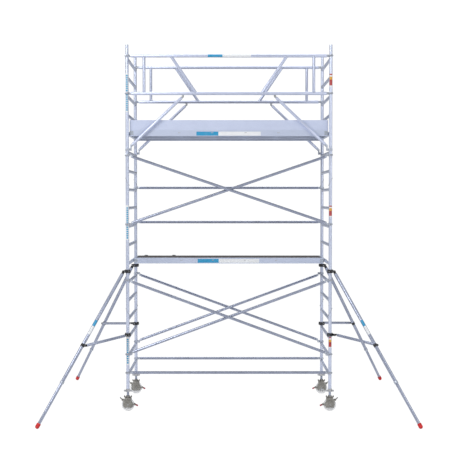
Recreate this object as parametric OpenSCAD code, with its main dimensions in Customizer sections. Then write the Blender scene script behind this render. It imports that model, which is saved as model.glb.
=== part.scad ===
// Mobile tower scaffold: ladder frames, braces, platforms, guardrails, castors and outriggers.
// Millimetres. +Z is up, X runs along the bay, Y across it, and the origin is on the ground at the centre.

/* [Tower] */
// Distance between the two end frames, centre to centre
bay_length = 3050; // [2400:10:3700]
// Distance between a frame's two standards, centre to centre
frame_width = 1300; // [1250:10:1450]
// Rung pitch of the ladder frames
rung_pitch = 280; // [235:5:340]
// Rungs in a base frame
base_rungs = 4; // [4:1:5]
// Rungs in a middle or top frame
lift_rungs = 7; // [7:1:8]
// Height of the base frames' lower ends above the ground
frame_z = 335; // [320:5:420]
// Height of a frame's first rung above its lower end
first_rung = 205; // [150:5:210]

/* [Tubes] */
// Outside diameter of the standards
standard_d = 50.8; // [42:0.2:61]
// Wall of the standards
standard_wall = 2; // [1.6:0.1:3]
// Outside diameter of the rungs
rung_d = 45; // [37:0.5:50]
// Outside diameter of the braces
brace_d = 42; // [35:0.5:43]
// Outside diameter of the guardrails' long rails
rail_d = 50; // [44:0.5:56]
// Outside diameter of the guardrails' posts and struts
post_d = 44; // [37:0.5:45]
// Wall of every tube but the standards
tube_wall = 2; // [1.5:0.1:3]
// Length of a spigot on each side of a frame joint
spigot_len = 130; // [100:5:160]

/* [Claws] */
// Height of a brace claw
claw_h = 34; // [28:1:40]
// Thickness of a claw's jaws
claw_wall = 12; // [8:0.5:15]
// Offset of a diagonal's axis to one side, so that two can cross
cross_offset = 22; // [22:0.5:26]

/* [Platforms] */
// Width of one platform
deck_width = 610; // [500:5:612]
// Height of a platform's side beams
beam_h = 90; // [75:1:110]
// Width of a platform's side beams
beam_w = 26; // [22:1:30]
// Height of a platform's top above the axis of the rung it hangs on
deck_rise = 55; // [45:1:65]
// Thickness of the platform boards
board_t = 12; // [9:0.5:15]
// Length of a hatch
hatch_len = 680; // [560:5:820]
// Height of the toe boards
toe_h = 150; // [120:5:180]
// Thickness of the toe boards
toe_t = 25; // [18:1:26]
// Wall of the toe boards' hollow section
toe_wall = 2.5; // [1.5:0.5:4]

/* [Castors] */
// Diameter of the wheels
wheel_d = 190; // [160:1:200]
// Width of the wheels
wheel_w = 42; // [34:1:50]
// Outside diameter of the adjustable legs
leg_d = 38; // [32:0.5:42]
// Length of the adjustable legs
leg_len = 515; // [430:5:620]

/* [Outriggers] */
// Height of the upper pivots
upper_pivot_z = 2112; // [2080:1:2130]
// Height of the lower pivots
lower_pivot_z = 1154; // [1150:1:1180]
// Distance of the pivots from a standard's axis
pivot_reach = 75; // [70:1:95]
// Angle of an outrigger leg from the vertical
leg_angle = 36.6; // [30:0.1:38]
// Outside diameter of an outrigger's outer tube
outrigger_d = 50; // [42:0.5:60]
// Length along an outrigger leg at which its outer tube ends
outer_len = 1910; // [1600:10:2000]
// Length along an outrigger leg at which its arm joins it
arm_at = 1283; // [1070:5:1400]
// Outside diameter of an outrigger's arm
arm_d = 42; // [35:0.5:46]
// Diameter of an outrigger's rubber foot
foot_d = 60; // [52:1:72]

/* [Fits] */
// Gap at a running or sliding fit, on each side
fit = 0.3; // [0.2:0.05:0.4]
// Gap at a welded or coped joint
weld = 0.1; // [0.05:0.05:0.2]
// Gap between a hinge pin or axle and its bore
pin_gap = 0.2; // [0.1:0.05:0.3]

/* [Hidden] */
$fn = 64;

// A cut runs this far past the surface that it opens
past = 1;
// Longer than anything that is cut away
far = 4000;

LEFT = -1;
RIGHT = 1;
FRONT = -1;
REAR = 1;
SIDES = [-1, 1];

ALUMINIUM = [0.78, 0.82, 0.88];
BRACE_ALUMINIUM = [0.72, 0.76, 0.82];
CASTING = [0.62, 0.62, 0.60];
STEEL = [0.55, 0.55, 0.55];
BLACK = [0.10, 0.10, 0.11];
BOARD = [0.23, 0.17, 0.15];
RED = [0.85, 0.08, 0.08];
WHEEL = [0.88, 0.88, 0.87];

// The corners' places
corner_x = bay_length / 2;
corner_y = frame_width / 2;
standard_r = standard_d / 2;
rung_r = rung_d / 2;

// The frames' heights
base_h = base_rungs * rung_pitch;
lift_h = lift_rungs * rung_pitch;
middle_z = frame_z + base_h;
top_z = middle_z + lift_h;
spigot_wall = 3;
neck_up = 1;
neck_down = 4;
neck_cut = 1;
spigot_r = standard_r - standard_wall - fit;

// Height of rung k, counted from the bottom of the tower
function rung_z(k) = frame_z + first_rung + k * rung_pitch;

// Which rungs carry what
base_x_rungs = [1, 5];
upper_x_rungs = [8, 12];
guard_rungs = [8, 10];
lower_deck_rung = 6;
upper_deck_rung = 13;
mid_rail_rung = 15;
top_rail_rung = 17;
strut_rung = 12;

// A claw sits just clear of the rung that it is next to
claw_lift = rung_r + claw_h / 2 + 0.5;
claw_bore = standard_r + fit;
claw_r = claw_bore + claw_wall;
jaw_reach = 22;
claw_body = 28;
plug_len = 45;
brace_start = claw_r + claw_body + weld;
root_bite = 6;
arm_half = 13;
plug_half = 15;
plug_extra = 20;
cross_gap = 12;
latch_t = 5;
latch_h = 16;
latch_gap = 3;
latch_hang = 12;
upper_x_top_z = rung_z(upper_x_rungs[1]) - claw_lift;

// Wire clips that lock one frame on the next
clip_wire = 5;
clip_h = 110;
clip_rings = 32;
clip_sides = 8;
clip_pin_d = 8;
clip_pin_len = 9;
clip_lift = clip_h / 2 - 10;

// Platforms
deck_gap = 5;
beam_x = corner_x - 35;
end_beam_x = beam_x - beam_w;
beam_wall = 3;
ledge_w = 18;
board_drop = 1;
board_edge = 2;
seat_z = board_t + board_drop;
cross_w = 50;
cross_h = 36;
hook_w = 60;
hook_wall = 9;
hook_r = rung_r + fit + hook_wall;
hook_drop = 8;
hook_tail = 14;
hook_spread = 0.3;
hatch_gap = 3;
hatch_inner_x = end_beam_x - hatch_gap - hatch_len;
hinge_r = 6;
hinge_pin_r = 3;
hinge_len = 60;
hinge_inset = 7;
hinge_up = 7;
knuckle_w = 28;
leaf_t = 3;
leaf_w = 45;
hatch_grip = [120, 34];
hatch_rail_w = 30;
hinge_tail = 11;
hatch_clear = 2;

// Guardrails
rail_z = [rung_z(mid_rail_rung) + claw_lift, rung_z(top_rail_rung) + claw_lift];
rail_r = rail_d / 2;
post_x = corner_x - 255;
brace_top_x = 870;
brace_low_x = 490;
strut_x = 689;
strut_hook_z = rung_z(strut_rung) + claw_lift;
lug_t = 6;
lug_drop = rail_r + 21;
strut_eye_r = 16;
strut_clear = 50;
strut_neck = 14;
hook_arm = 16;
hook_reach = 34;
hook_block = [22, 28];
pin_stub = 4;
strut_eye_t = 14;
strut_pin_r = 5;
strut_pivot_z = rail_z[0] - lug_drop;
strut_dx = corner_x - strut_x;
strut_dz = strut_pivot_z - strut_hook_z;
strut_tilt = atan2(strut_dx, strut_dz);
strut_len = norm([strut_dx, strut_dz]);
strut_gap = claw_r + claw_body + strut_clear;

// Castors
wheel_z = wheel_d / 2;
axle_r = 6;
hub_r = 22;
wheel_rim = 24;
web_t = 16;
fork_gap = 6;
fork_t = 5;
fork_in = wheel_w / 2 + fork_gap;
fork_out = fork_in + fork_t;
fork_top_z = wheel_d + 6;
fork_top_t = 7;
fork_top_w = 92;
fork_rise = fork_top_z + fork_top_t - wheel_z;
fork_low = [59, 38];
fork_nose = [84, 4];
fork_neck = [58, 63];
fork_tail = [72, 45];
axle_nut = [11, 6];
crown_z = fork_top_z + fork_top_t + fit;
crown_h = 14;
boss_h = 32;
boss_r = 28;
ear_x = 52;
ear = [16, 24, 28];
kingpin_r = 7;
kingpin_head = [13, 4];
leg_wall = 4;
leg_z = crown_z + boss_h;
leg_plug_len = 60;
nut_z = frame_z - 44;
nut_h = 44;
nut_r = 31;
wing_reach = 64;
wing_t = 9;
wing_h = 28;
pedal_pivot_z = wheel_z + 55;
pedal_t = 4;
pedal_in = fork_out + 1;
pedal_root = [wheel_d / 2 + 9, -52];
pedal_tip = pedal_root + [46, -20];
tab_root = [9 - wheel_d / 2, 18];
tab_tip = tab_root + [-34, 35];
pedal_arm_r = 9;
pedal_plate_t = 7;
pedal_plate_w = 44;

// Outriggers, in a frame whose +X points outwards from the standard
clamp_h = 48;
clamp_r = 38;
clamp_fit = standard_r + fit;
clamp_split = 3;
clamp_ear = [12, 16];
clamp_bolt_r = 5;
clamp_bolt_len = 46;
out_lug_t = 8;
eye_t = 22;
eye_r = 17;
pivot_r = 6;
head_h = 7;
outrigger_wall = 2.5;
leg_start = 46;
inner_start = 1250;
foot_r = foot_d / 2;
inner_d = outrigger_d - 2 * outrigger_wall - 2 * fit;
sole_at = (upper_pivot_z - foot_r) / cos(leg_angle);
foot_h = 70;
arm_collar_t = 4;
arm_collar_h = 44;
arm_y = outrigger_d / 2 + arm_collar_t + arm_d / 2 + 2;
arm_plate_t = 8;
side_lug_y = outrigger_d / 2 + out_lug_t / 2;
arm_joint = [pivot_reach + arm_at * sin(leg_angle), upper_pivot_z - arm_at * cos(leg_angle)];
arm_run = [arm_joint[0] - pivot_reach, lower_pivot_z - arm_joint[1]];
arm_len = norm(arm_run);
arm_end_gap = 30;
saddle_mouth = 12;
lock_collar_h = 36;
lock_collar_t = 5;
foot_socket = 30;

// ---- shared shapes ----

// A straight tube that stands on the origin
module tube(len, d, wall) {
    difference() {
        cylinder(d = d, h = len);
        translate([0, 0, -past]) cylinder(d = d - 2 * wall, h = len + 2 * past);
    }
}

// Puts its children at p, with their +Z turned towards q
module towards(p, q) {
    run = q - p;
    translate(p) rotate([0, acos(run[2] / norm(run)), atan2(run[1], run[0])]) children();
}

// A tube from p to q
module tube_between(p, q, d, wall = tube_wall) {
    towards(p, q) tube(norm(q - p), d, wall);
}

// A flat plate outline with two round ends
module link(p, q, r) {
    hull() {
        translate(p) circle(r = r);
        translate(q) circle(r = r);
    }
}

// ---- ladder frames ----

module standard(side, row, z, h) {
    translate([side * corner_x, row * corner_y, z]) tube(h, standard_d, standard_wall);
}

module rung(side, z) {
    difference() {
        translate([side * corner_x, corner_y, z]) rotate([90, 0, 0])
            tube(frame_width, rung_d, tube_wall);
        for (row = SIDES)
            translate([side * corner_x, row * corner_y, z - rung_d])
                cylinder(d = standard_d + 2 * weld, h = 2 * rung_d);
    }
}

// A spigot: its lower half is fixed in the frame, and its upper half takes the next frame.
// A neck parts the two, so that the next frame's end seats without fouling the weld.
module spigot(side, row, z) {
    translate([side * corner_x, row * corner_y, z]) difference() {
        union() {
            translate([0, 0, neck_up]) cylinder(r = spigot_r, h = spigot_len - neck_up);
            translate([0, 0, -neck_down - past])
                cylinder(r = spigot_r - neck_cut, h = neck_down + neck_up + 2 * past);
            translate([0, 0, -spigot_len]) cylinder(r = spigot_r - weld, h = spigot_len - neck_down);
        }
        translate([0, 0, -spigot_len - past])
            cylinder(r = spigot_r - spigot_wall, h = 2 * spigot_len + 2 * past);
    }
}

// One ladder frame whose lower end is at z
module ladder_frame(side, z, rungs) {
    h = rungs * rung_pitch;
    color(ALUMINIUM) {
        for (row = SIDES) standard(side, row, z, h);
        for (k = [0 : rungs - 1]) rung(side, z + first_rung + k * rung_pitch);
    }
    color(STEEL) for (row = SIDES) spigot(side, row, z + h);
}

// A point of a wire clip's centre line, and of the ring of points around it
function clip_point(a, r) = [r * cos(a), r * sin(a), clip_h / 2 * cos(a)];
function clip_ring(a, r) = [
    for (j = [0 : clip_sides - 1])
        let (b = 360 * j / clip_sides, out = r + clip_wire / 2 * cos(b))
            clip_point(a, out) + [0, 0, clip_wire / 2 * sin(b) + clip_h / 2 * cos(a) * (r / out - 1)]
];

// A sprung wire ring that lies aslant round a standard, with a pin at its high and low points
module wire_clip() {
    r = standard_r + fit + clip_wire / 2;
    points = [for (i = [0 : clip_rings - 1]) each clip_ring(360 * i / clip_rings, r)];
    faces = [
        for (i = [0 : clip_rings - 1]) for (j = [0 : clip_sides - 1])
            let (i2 = (i + 1) % clip_rings, j2 = (j + 1) % clip_sides)
                [i * clip_sides + j, i * clip_sides + j2, i2 * clip_sides + j2, i2 * clip_sides + j]
    ];
    polyhedron(points, faces);
    for (a = [0, 180])
        rotate([0, 0, a]) translate([standard_r + fit, 0, clip_h / 2 * cos(a)]) rotate([0, 90, 0])
            cylinder(d = clip_pin_d, h = clip_pin_len, $fn = 16);
}

module frame_lock_clips() {
    color(STEEL)
        for (side = SIDES) for (row = SIDES) for (z = [middle_z, top_z])
            translate([side * corner_x, row * corner_y, z + clip_lift])
                rotate([0, 0, side > 0 ? 0 : 180]) wire_clip();
}

// ---- braces and claws ----

// A claw in its own frame: the standard is at the origin, +X is outwards along the bay, +Y is away
// from the tower, and the brace leaves towards -X, moved by offset in Y and rising at slope degrees
module claw(offset = 0, slope = 0, tube_d = brace_d) {
    lo = min(-arm_half, offset - plug_half);
    hi = max(arm_half, offset + plug_half);
    linear_extrude(claw_h, center = true) difference() {
        union() {
            circle(r = claw_r);
            translate([0, -claw_r]) square([jaw_reach, 2 * claw_r]);
            translate([-claw_r - claw_body, lo]) square([claw_r + claw_body - root_bite, hi - lo]);
        }
        circle(r = claw_bore);
        translate([0, -claw_bore]) square([far, 2 * claw_bore]);
    }
    plug_at = claw_r + claw_body - root_bite;
    translate([-plug_at, offset, plug_at * tan(slope)]) rotate([0, slope - 90, 0])
        cylinder(d = tube_d - 2 * tube_wall - 2 * fit, h = plug_len + plug_extra);
}

// The sprung latch that closes a claw's mouth
module claw_latch() {
    y = claw_r + weld;
    tip = max(jaw_reach, standard_r) + latch_gap;
    linear_extrude(latch_h, center = true) polygon([
        [-claw_r, y], [tip, y], [tip, -latch_hang], [tip + latch_t, -latch_hang],
        [tip + latch_t, y + latch_t],
        [-claw_r, y + latch_t]
    ]);
}

// Puts a claw's frame on one standard
module at_standard(side, row, z) {
    translate([side * corner_x, row * corner_y, z])
        mirror([side > 0 ? 0 : 1, 0, 0]) mirror([0, row > 0 ? 0 : 1, 0]) children();
}

module horizontal_brace(row, z) {
    x = corner_x - brace_start;
    tube_between([-x, row * corner_y, z], [x, row * corner_y, z], brace_d);
}

// A diagonal brace that starts low at one side and ends high at the other
function slope_of(z_low, z_high) = atan2(z_high - z_low, bay_length);
module diagonal_brace(low_side, row, z_low, z_high, offset) {
    slope = slope_of(z_low, z_high);
    start = brace_start + cross_gap + brace_d / 2 * sin(slope);
    rise = start * tan(slope);
    y = row * (corner_y + offset);
    tube_between([low_side * (corner_x - start), y, z_low + rise],
                 [-low_side * (corner_x - start), y, z_high - rise], brace_d);
}

// The two braces of one cross
module brace_cross(row, z_low, z_high) {
    color(BRACE_ALUMINIUM) for (side = SIDES)
        diagonal_brace(side, row, z_low, z_high, side * cross_offset);
}

module cross_claws(row, z_low, z_high) {
    slope = slope_of(z_low, z_high);
    for (side = SIDES) {
        at_standard(side, row, z_low) { claw(side * cross_offset, slope); claw_latch(); }
        at_standard(-side, row, z_high) { claw(side * cross_offset, -slope); claw_latch(); }
    }
}

module horizontal_claws(row, z) {
    for (side = SIDES) at_standard(side, row, z) { claw(); claw_latch(); }
}

module horizontal_braces() {
    color(BRACE_ALUMINIUM) {
        for (row = SIDES) horizontal_brace(row, rung_z(0) + claw_lift);
        for (k = guard_rungs) horizontal_brace(REAR, rung_z(k) + claw_lift);
    }
}
module diagonal_braces_front_base() {
    brace_cross(FRONT, rung_z(base_x_rungs[0]) + claw_lift, rung_z(base_x_rungs[1]) + claw_lift);
}
module diagonal_braces_rear_base() {
    brace_cross(REAR, rung_z(base_x_rungs[0]) + claw_lift, rung_z(base_x_rungs[1]) + claw_lift);
}
module diagonal_braces_front_upper() {
    brace_cross(FRONT, rung_z(upper_x_rungs[0]) + claw_lift, upper_x_top_z);
}
module brace_claws() {
    color(CASTING) {
        for (row = SIDES) {
            horizontal_claws(row, rung_z(0) + claw_lift);
            cross_claws(row, rung_z(base_x_rungs[0]) + claw_lift, rung_z(base_x_rungs[1]) + claw_lift);
        }
        for (k = guard_rungs) horizontal_claws(REAR, rung_z(k) + claw_lift);
        cross_claws(FRONT, rung_z(upper_x_rungs[0]) + claw_lift, upper_x_top_z);
    }
}

// ---- platforms ----

function deck_top(k) = rung_z(k) + deck_rise;
function deck_low_y(row) = row > 0 ? deck_gap : -deck_gap - deck_width;

// A side beam's box section
module beam_section() {
    translate([0, -beam_h]) difference() {
        square([beam_w, beam_h]);
        translate([beam_wall, beam_wall]) square([beam_w - 2 * beam_wall, beam_h - 2 * beam_wall]);
    }
}

// A side beam, and the ledge strip on its inner face that the board lies on
module side_beam(y, z, turned) {
    ledge_x = end_beam_x - weld;
    translate([-beam_x, y, z]) rotate([90, 0, 90]) mirror([turned ? 1 : 0, 0, 0]) {
        linear_extrude(2 * beam_x) beam_section();
        translate([beam_w + weld, -seat_z - beam_wall, beam_x - ledge_x])
            cube([ledge_w, beam_wall, 2 * ledge_x]);
    }
}

module end_beam(side, y, z) {
    inner = deck_width - 2 * beam_w - 2 * weld;
    translate([side > 0 ? end_beam_x : -beam_x, y + beam_w + weld, z - beam_h]) difference() {
        cube([beam_w, inner, beam_h]);
        translate([beam_wall, -past, beam_wall])
            cube([beam_w - 2 * beam_wall, inner + 2 * past, beam_h - 2 * beam_wall]);
    }
}

// A cross member under the board
module cross_member(x, y, z) {
    inner = deck_width - 2 * beam_w - 2 * weld;
    translate([x - cross_w / 2, y + beam_w + weld, z - seat_z - beam_wall - weld - cross_h]) difference() {
        cube([cross_w, inner, cross_h]);
        translate([beam_wall, -past, beam_wall])
            cube([cross_w - 2 * beam_wall, inner + 2 * past, cross_h - 2 * beam_wall]);
    }
}

// The frame of one platform, with cross members at the given places
module deck_frame(row, z, members) {
    y = deck_low_y(row);
    side_beam(y, z, false);
    side_beam(y + deck_width, z, true);
    for (side = SIDES) end_beam(side, y, z);
    for (x = members) cross_member(x, y, z);
}

// Where a hatch's hinge line is
function hinge_y(row) = deck_low_y(row) + deck_width - beam_w - hinge_inset;
function hinge_xs(side) = [for (s = SIDES) side * (hatch_inner_x + hatch_len / 2) + s * hatch_len / 3];

// The fixed middle knuckles and pins of a hatch's hinges
module hatch_hinge_fixed(side, row, z) {
    y = hinge_y(row);
    for (x = hinge_xs(side)) {
        difference() {
            union() {
                translate([x - knuckle_w / 2, y, z + hinge_up]) rotate([0, 90, 0])
                    cylinder(r = hinge_r, h = knuckle_w);
                translate([x - knuckle_w / 2, y + 1, z - hinge_tail])
                    cube([knuckle_w, hinge_inset - 1 - weld, hinge_tail + hinge_up]);
            }
            translate([x - knuckle_w, y, z + hinge_up]) rotate([0, 90, 0])
                cylinder(r = hinge_pin_r + pin_gap, h = 2 * knuckle_w);
        }
        translate([x - hinge_len / 2, y, z + hinge_up]) rotate([0, 90, 0])
            cylinder(r = hinge_pin_r, h = hinge_len);
    }
}

member_x = corner_x - 780;
centre_members = [for (s = SIDES) s * 250];
module lower_deck_frame() {
    z = deck_top(lower_deck_rung);
    color(ALUMINIUM) deck_frame(REAR, z, concat([-hatch_inner_x, member_x], centre_members));
    color(STEEL) hatch_hinge_fixed(LEFT, REAR, z);
}
module upper_hatch_deck_frame() {
    z = deck_top(upper_deck_rung);
    color(ALUMINIUM) deck_frame(REAR, z, concat([hatch_inner_x, -member_x], centre_members));
    color(STEEL) hatch_hinge_fixed(RIGHT, REAR, z);
}
module upper_plain_deck_frame() {
    color(ALUMINIUM) deck_frame(FRONT, deck_top(upper_deck_rung),
                                concat([-member_x, member_x], centre_members));
}

// A board from x0 to x1
module deck_board(row, z, x0, x1) {
    translate([x0, deck_low_y(row) + beam_w + board_edge, z - seat_z])
        cube([x1 - x0, deck_width - 2 * beam_w - 2 * board_edge, board_t]);
}

module deck_boards() {
    end = end_beam_x - board_edge;
    split = hatch_inner_x - hatch_gap / 2;
    color(BOARD) {
        deck_board(REAR, deck_top(lower_deck_rung), -split, end);
        deck_board(REAR, deck_top(upper_deck_rung), -end, split);
        deck_board(FRONT, deck_top(upper_deck_rung), -end, end);
    }
}

// A hinged hatch: a front rail, a panel, two fillers that leave the grip slot, and hinge leaves
module hatch(side, row, z) {
    low_x = side > 0 ? hatch_inner_x + hatch_gap / 2 : -end_beam_x + hatch_gap;
    y0 = deck_low_y(row) + beam_w + board_edge;
    y1 = hinge_y(row) - hinge_r - hatch_clear;
    high_x = low_x + hatch_len - hatch_gap;
    grip_x = low_x + hatch_len / 2;
    grip_y = y0 + hatch_rail_w;
    panel_y = grip_y + hatch_grip[1];
    low_z = z - seat_z + fit;
    color(ALUMINIUM) translate([low_x, y0, low_z]) cube([high_x - low_x, hatch_rail_w, board_t]);
    color(BOARD) {
        translate([low_x, panel_y, low_z]) cube([high_x - low_x, y1 - panel_y, board_t]);
        for (x = [[low_x, grip_x - hatch_grip[0] / 2], [grip_x + hatch_grip[0] / 2, high_x]])
            translate([x[0], grip_y + weld, low_z])
                cube([x[1] - x[0], hatch_grip[1] - 2 * weld, board_t]);
    }
    leaf_z = low_z + board_t + weld;
    color(STEEL) for (x = hinge_xs(side)) for (s = SIDES) {
        knuckle_x = x + s * (knuckle_w / 2 + fit + knuckle_w / 4);
        difference() {
            union() {
                translate([knuckle_x - knuckle_w / 4, hinge_y(row), z + hinge_up]) rotate([0, 90, 0])
                    cylinder(r = hinge_r, h = knuckle_w / 2);
                translate([knuckle_x - knuckle_w / 4, hinge_y(row) - leaf_w, leaf_z])
                    cube([knuckle_w / 2, leaf_w, leaf_t]);
            }
            translate([knuckle_x - knuckle_w, hinge_y(row), z + hinge_up]) rotate([0, 90, 0])
                cylinder(r = hinge_pin_r + pin_gap, h = 2 * knuckle_w);
        }
    }
}
module lower_hatch() { hatch(LEFT, REAR, deck_top(lower_deck_rung)); }
module upper_hatch() { hatch(RIGHT, REAR, deck_top(upper_deck_rung)); }

// A hook that hangs a platform on a rung, in a frame centred on the rung
module deck_hook() {
    rotate([90, 0, 0]) linear_extrude(hook_w, center = true) difference() {
        union() {
            circle(r = hook_r);
            translate([beam_x + weld - corner_x, -hook_drop - hook_tail])
                square([corner_x - beam_x - weld, hook_r + hook_drop + hook_tail]);
        }
        circle(r = rung_r + fit);
        translate([-rung_r - fit, -far]) square([far, far - hook_drop]);
    }
}

module deck_hooks() {
    color(CASTING)
        for (deck = [[REAR, lower_deck_rung], [REAR, upper_deck_rung], [FRONT, upper_deck_rung]])
            for (side = SIDES) for (s = SIDES)
                translate([side * corner_x,
                           deck_low_y(deck[0]) + deck_width * (1 / 2 + s * hook_spread),
                           rung_z(deck[1])])
                    mirror([side > 0 ? 0 : 1, 0, 0]) deck_hook();
}

// A toe board's hollow section, along X
module toe_section(len) {
    difference() {
        cube([len, toe_t, toe_h]);
        translate([-past, toe_wall, toe_wall])
            cube([len + 2 * past, toe_t - 2 * toe_wall, toe_h - 2 * toe_wall]);
    }
}

// Toe boards stand on the upper platforms' outer beams
module toe_boards_long() {
    z = deck_top(upper_deck_rung);
    edge = deck_gap + deck_width;
    color(ALUMINIUM) for (row = SIDES)
        translate([-beam_x, row > 0 ? edge - toe_t : -edge, z]) toe_section(2 * beam_x);
}
module toe_boards_end() {
    z = deck_top(upper_deck_rung);
    half = deck_gap + deck_width - toe_t - fit;
    color(ALUMINIUM) for (side = SIDES)
        translate([side > 0 ? beam_x : toe_t - beam_x, -half, z]) rotate([0, 0, 90])
            toe_section(2 * half);
}

// ---- guardrails ----

// A guardrail's long rail with a claw at each end
module guard_rail(row, z) {
    x = corner_x - brace_start;
    color(BRACE_ALUMINIUM) tube_between([-x, row * corner_y, z], [x, row * corner_y, z], rail_d);
    color(CASTING) for (side = SIDES) at_standard(side, row, z) {
        claw(0, 0, rail_d);
        claw_latch();
    }
}

// A tube between the two rails, coped to both
module rail_post(row, low_x, high_x) {
    y = row * corner_y;
    difference() {
        tube_between([low_x, y, rail_z[0]], [high_x, y, rail_z[1]], post_d);
        for (z = rail_z) translate([-corner_x, y, z]) rotate([0, 90, 0])
            cylinder(d = rail_d + 2 * weld, h = bay_length);
    }
}

// The lugs and pin under the middle rail that a strut turns on
module strut_lugs(side, row) {
    in = strut_eye_t / 2 + fit;
    translate([side * strut_x, row * corner_y, strut_pivot_z]) {
        for (s = SIDES) translate([0, s * (in + lug_t / 2), 0]) difference() {
            translate([0, lug_t / 2, 0]) rotate([90, 0, 0]) linear_extrude(lug_t) union() {
                circle(r = strut_eye_r);
                translate([-strut_eye_r, 0]) square([2 * strut_eye_r, lug_drop]);
            }
            translate([0, 0, lug_drop]) rotate([0, 90, 0])
                cylinder(d = rail_d + 2 * weld, h = 6 * strut_eye_r, center = true);
            rotate([90, 0, 0]) cylinder(r = strut_pin_r + pin_gap, h = 4 * lug_t, center = true);
        }
        rotate([90, 0, 0]) cylinder(r = strut_pin_r, h = 2 * (in + lug_t + pin_stub), center = true);
    }
}

module guardrail(row) {
    for (z = rail_z) guard_rail(row, z);
    color(BRACE_ALUMINIUM) for (side = SIDES) {
        rail_post(row, side * post_x, side * post_x);
        rail_post(row, side * brace_low_x, side * brace_top_x);
    }
    color(STEEL) for (side = SIDES) strut_lugs(side, row);
}

// A strut: eye, tube, and a hook that lies behind the standard and along its outer side
module strut(side, row) {
    tube_at = strut_eye_r + strut_neck;
    translate([side * strut_x, row * corner_y, strut_pivot_z]) mirror([side > 0 ? 0 : 1, 0, 0])
        rotate([0, 180 - strut_tilt, 0]) {
            color(CASTING) difference() {
                union() {
                    rotate([90, 0, 0]) cylinder(r = strut_eye_r, h = strut_eye_t, center = true);
                    translate([-strut_eye_r + 2, -strut_eye_t / 2, 4])
                        cube([2 * strut_eye_r - 4, strut_eye_t, strut_eye_r + 8]);
                    translate([0, 0, strut_eye_r + 10])
                        cylinder(d = post_d - 2 * tube_wall - 2 * fit, h = plug_len);
                }
                rotate([90, 0, 0]) cylinder(r = strut_pin_r + pin_gap, h = 2 * strut_eye_t, center = true);
            }
            color(BRACE_ALUMINIUM) translate([0, 0, tube_at])
                tube(strut_len - tube_at - strut_gap, post_d, tube_wall);
        }
    color(CASTING) at_standard(side, row, strut_hook_z) strut_hook();
}

module strut_hook() {
    back = claw_r + claw_body;
    linear_extrude(claw_h, center = true) difference() {
        union() {
            circle(r = claw_r);
            translate([0, 0]) square([jaw_reach, claw_r]);
            translate([-back, -hook_arm]) square([back - root_bite, 2 * hook_arm]);
        }
        circle(r = claw_bore);
        translate([0, -claw_r]) square([far, claw_r + claw_bore]);
        translate([-claw_bore, -far]) square([far, far - hook_arm]);
    }
    translate([-back + 10, 0, (back - 10) / tan(strut_tilt)]) rotate([0, -strut_tilt, 0])
        cylinder(d = post_d - 2 * tube_wall - 2 * fit, h = plug_len + hook_reach);
    translate([-back, -hook_block[1] / 2, 0])
        cube([hook_block[0], hook_block[1], (back + pin_stub) / tan(strut_tilt)]);
}

module guardrail_front() { guardrail(FRONT); }
module guardrail_rear() { guardrail(REAR); }

// ---- castors ----

// Puts a castor's frame on its standard's axis, with +X towards the middle of the tower
module at_castor(side, row) {
    translate([side * corner_x, row * corner_y, 0]) mirror([side > 0 ? 1 : 0, 0, 0]) children();
}

module castor_wing_nuts() {
    color(CASTING) for (side = SIDES) for (row = SIDES) at_castor(side, row) difference() {
        union() {
            translate([0, 0, nut_z]) cylinder(r = nut_r, h = nut_h);
            translate([-wing_reach + wing_h / 2, -wing_t / 2, nut_z])
                cube([2 * wing_reach - wing_h, wing_t, wing_h]);
            for (s = SIDES)
                translate([s * (wing_reach - wing_h / 2), wing_t / 2 + 1, nut_z + wing_h / 2])
                    rotate([90, 0, 0]) cylinder(d = wing_h, h = wing_t + 2);
        }
        translate([0, 0, nut_z - past]) cylinder(d = leg_d + 2 * fit, h = nut_h + 2 * past);
    }
}

// The adjustable leg, with the castor's fixed crown and kingpin
module castor_leg(side, row) {
    at_castor(side, row) {
        color(STEEL) translate([0, 0, leg_z + weld]) tube(leg_len, leg_d, leg_wall);
        color(CASTING) {
            translate([0, 0, crown_z]) cylinder(r = boss_r, h = boss_h);
            translate([-ear_x - ear[0] / 2, -ear[1] / 2, crown_z])
                cube([2 * ear_x + ear[0], ear[1], crown_h]);
            for (s = SIDES) translate([s * ear_x - ear[0] / 2, -ear[1] / 2, crown_z])
                cube(ear);
            translate([0, 0, leg_z - 1])
                cylinder(r = leg_d / 2 - leg_wall - fit, h = leg_plug_len);
            translate([0, 0, fork_top_z - fit - 1]) cylinder(r = kingpin_r, h = fork_top_t + 3);
            translate([0, 0, fork_top_z - fit - kingpin_head[1]])
                cylinder(r = kingpin_head[0], h = kingpin_head[1]);
        }
    }
}

// A fork's side plate, measured from the axle
fork_outline = [
    [-fork_low[0], -fork_low[1]], [fork_low[0], -fork_low[1]], [fork_nose[0], -fork_nose[1]],
    [fork_nose[0], fork_nose[1]], [fork_neck[0], fork_neck[1]], [fork_top_w / 2, fork_rise],
    [-fork_top_w / 2, fork_rise], [-fork_neck[0], fork_neck[1]], [-fork_tail[0], fork_tail[1]],
    [-fork_tail[0], -fork_nose[1]]
];

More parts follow.
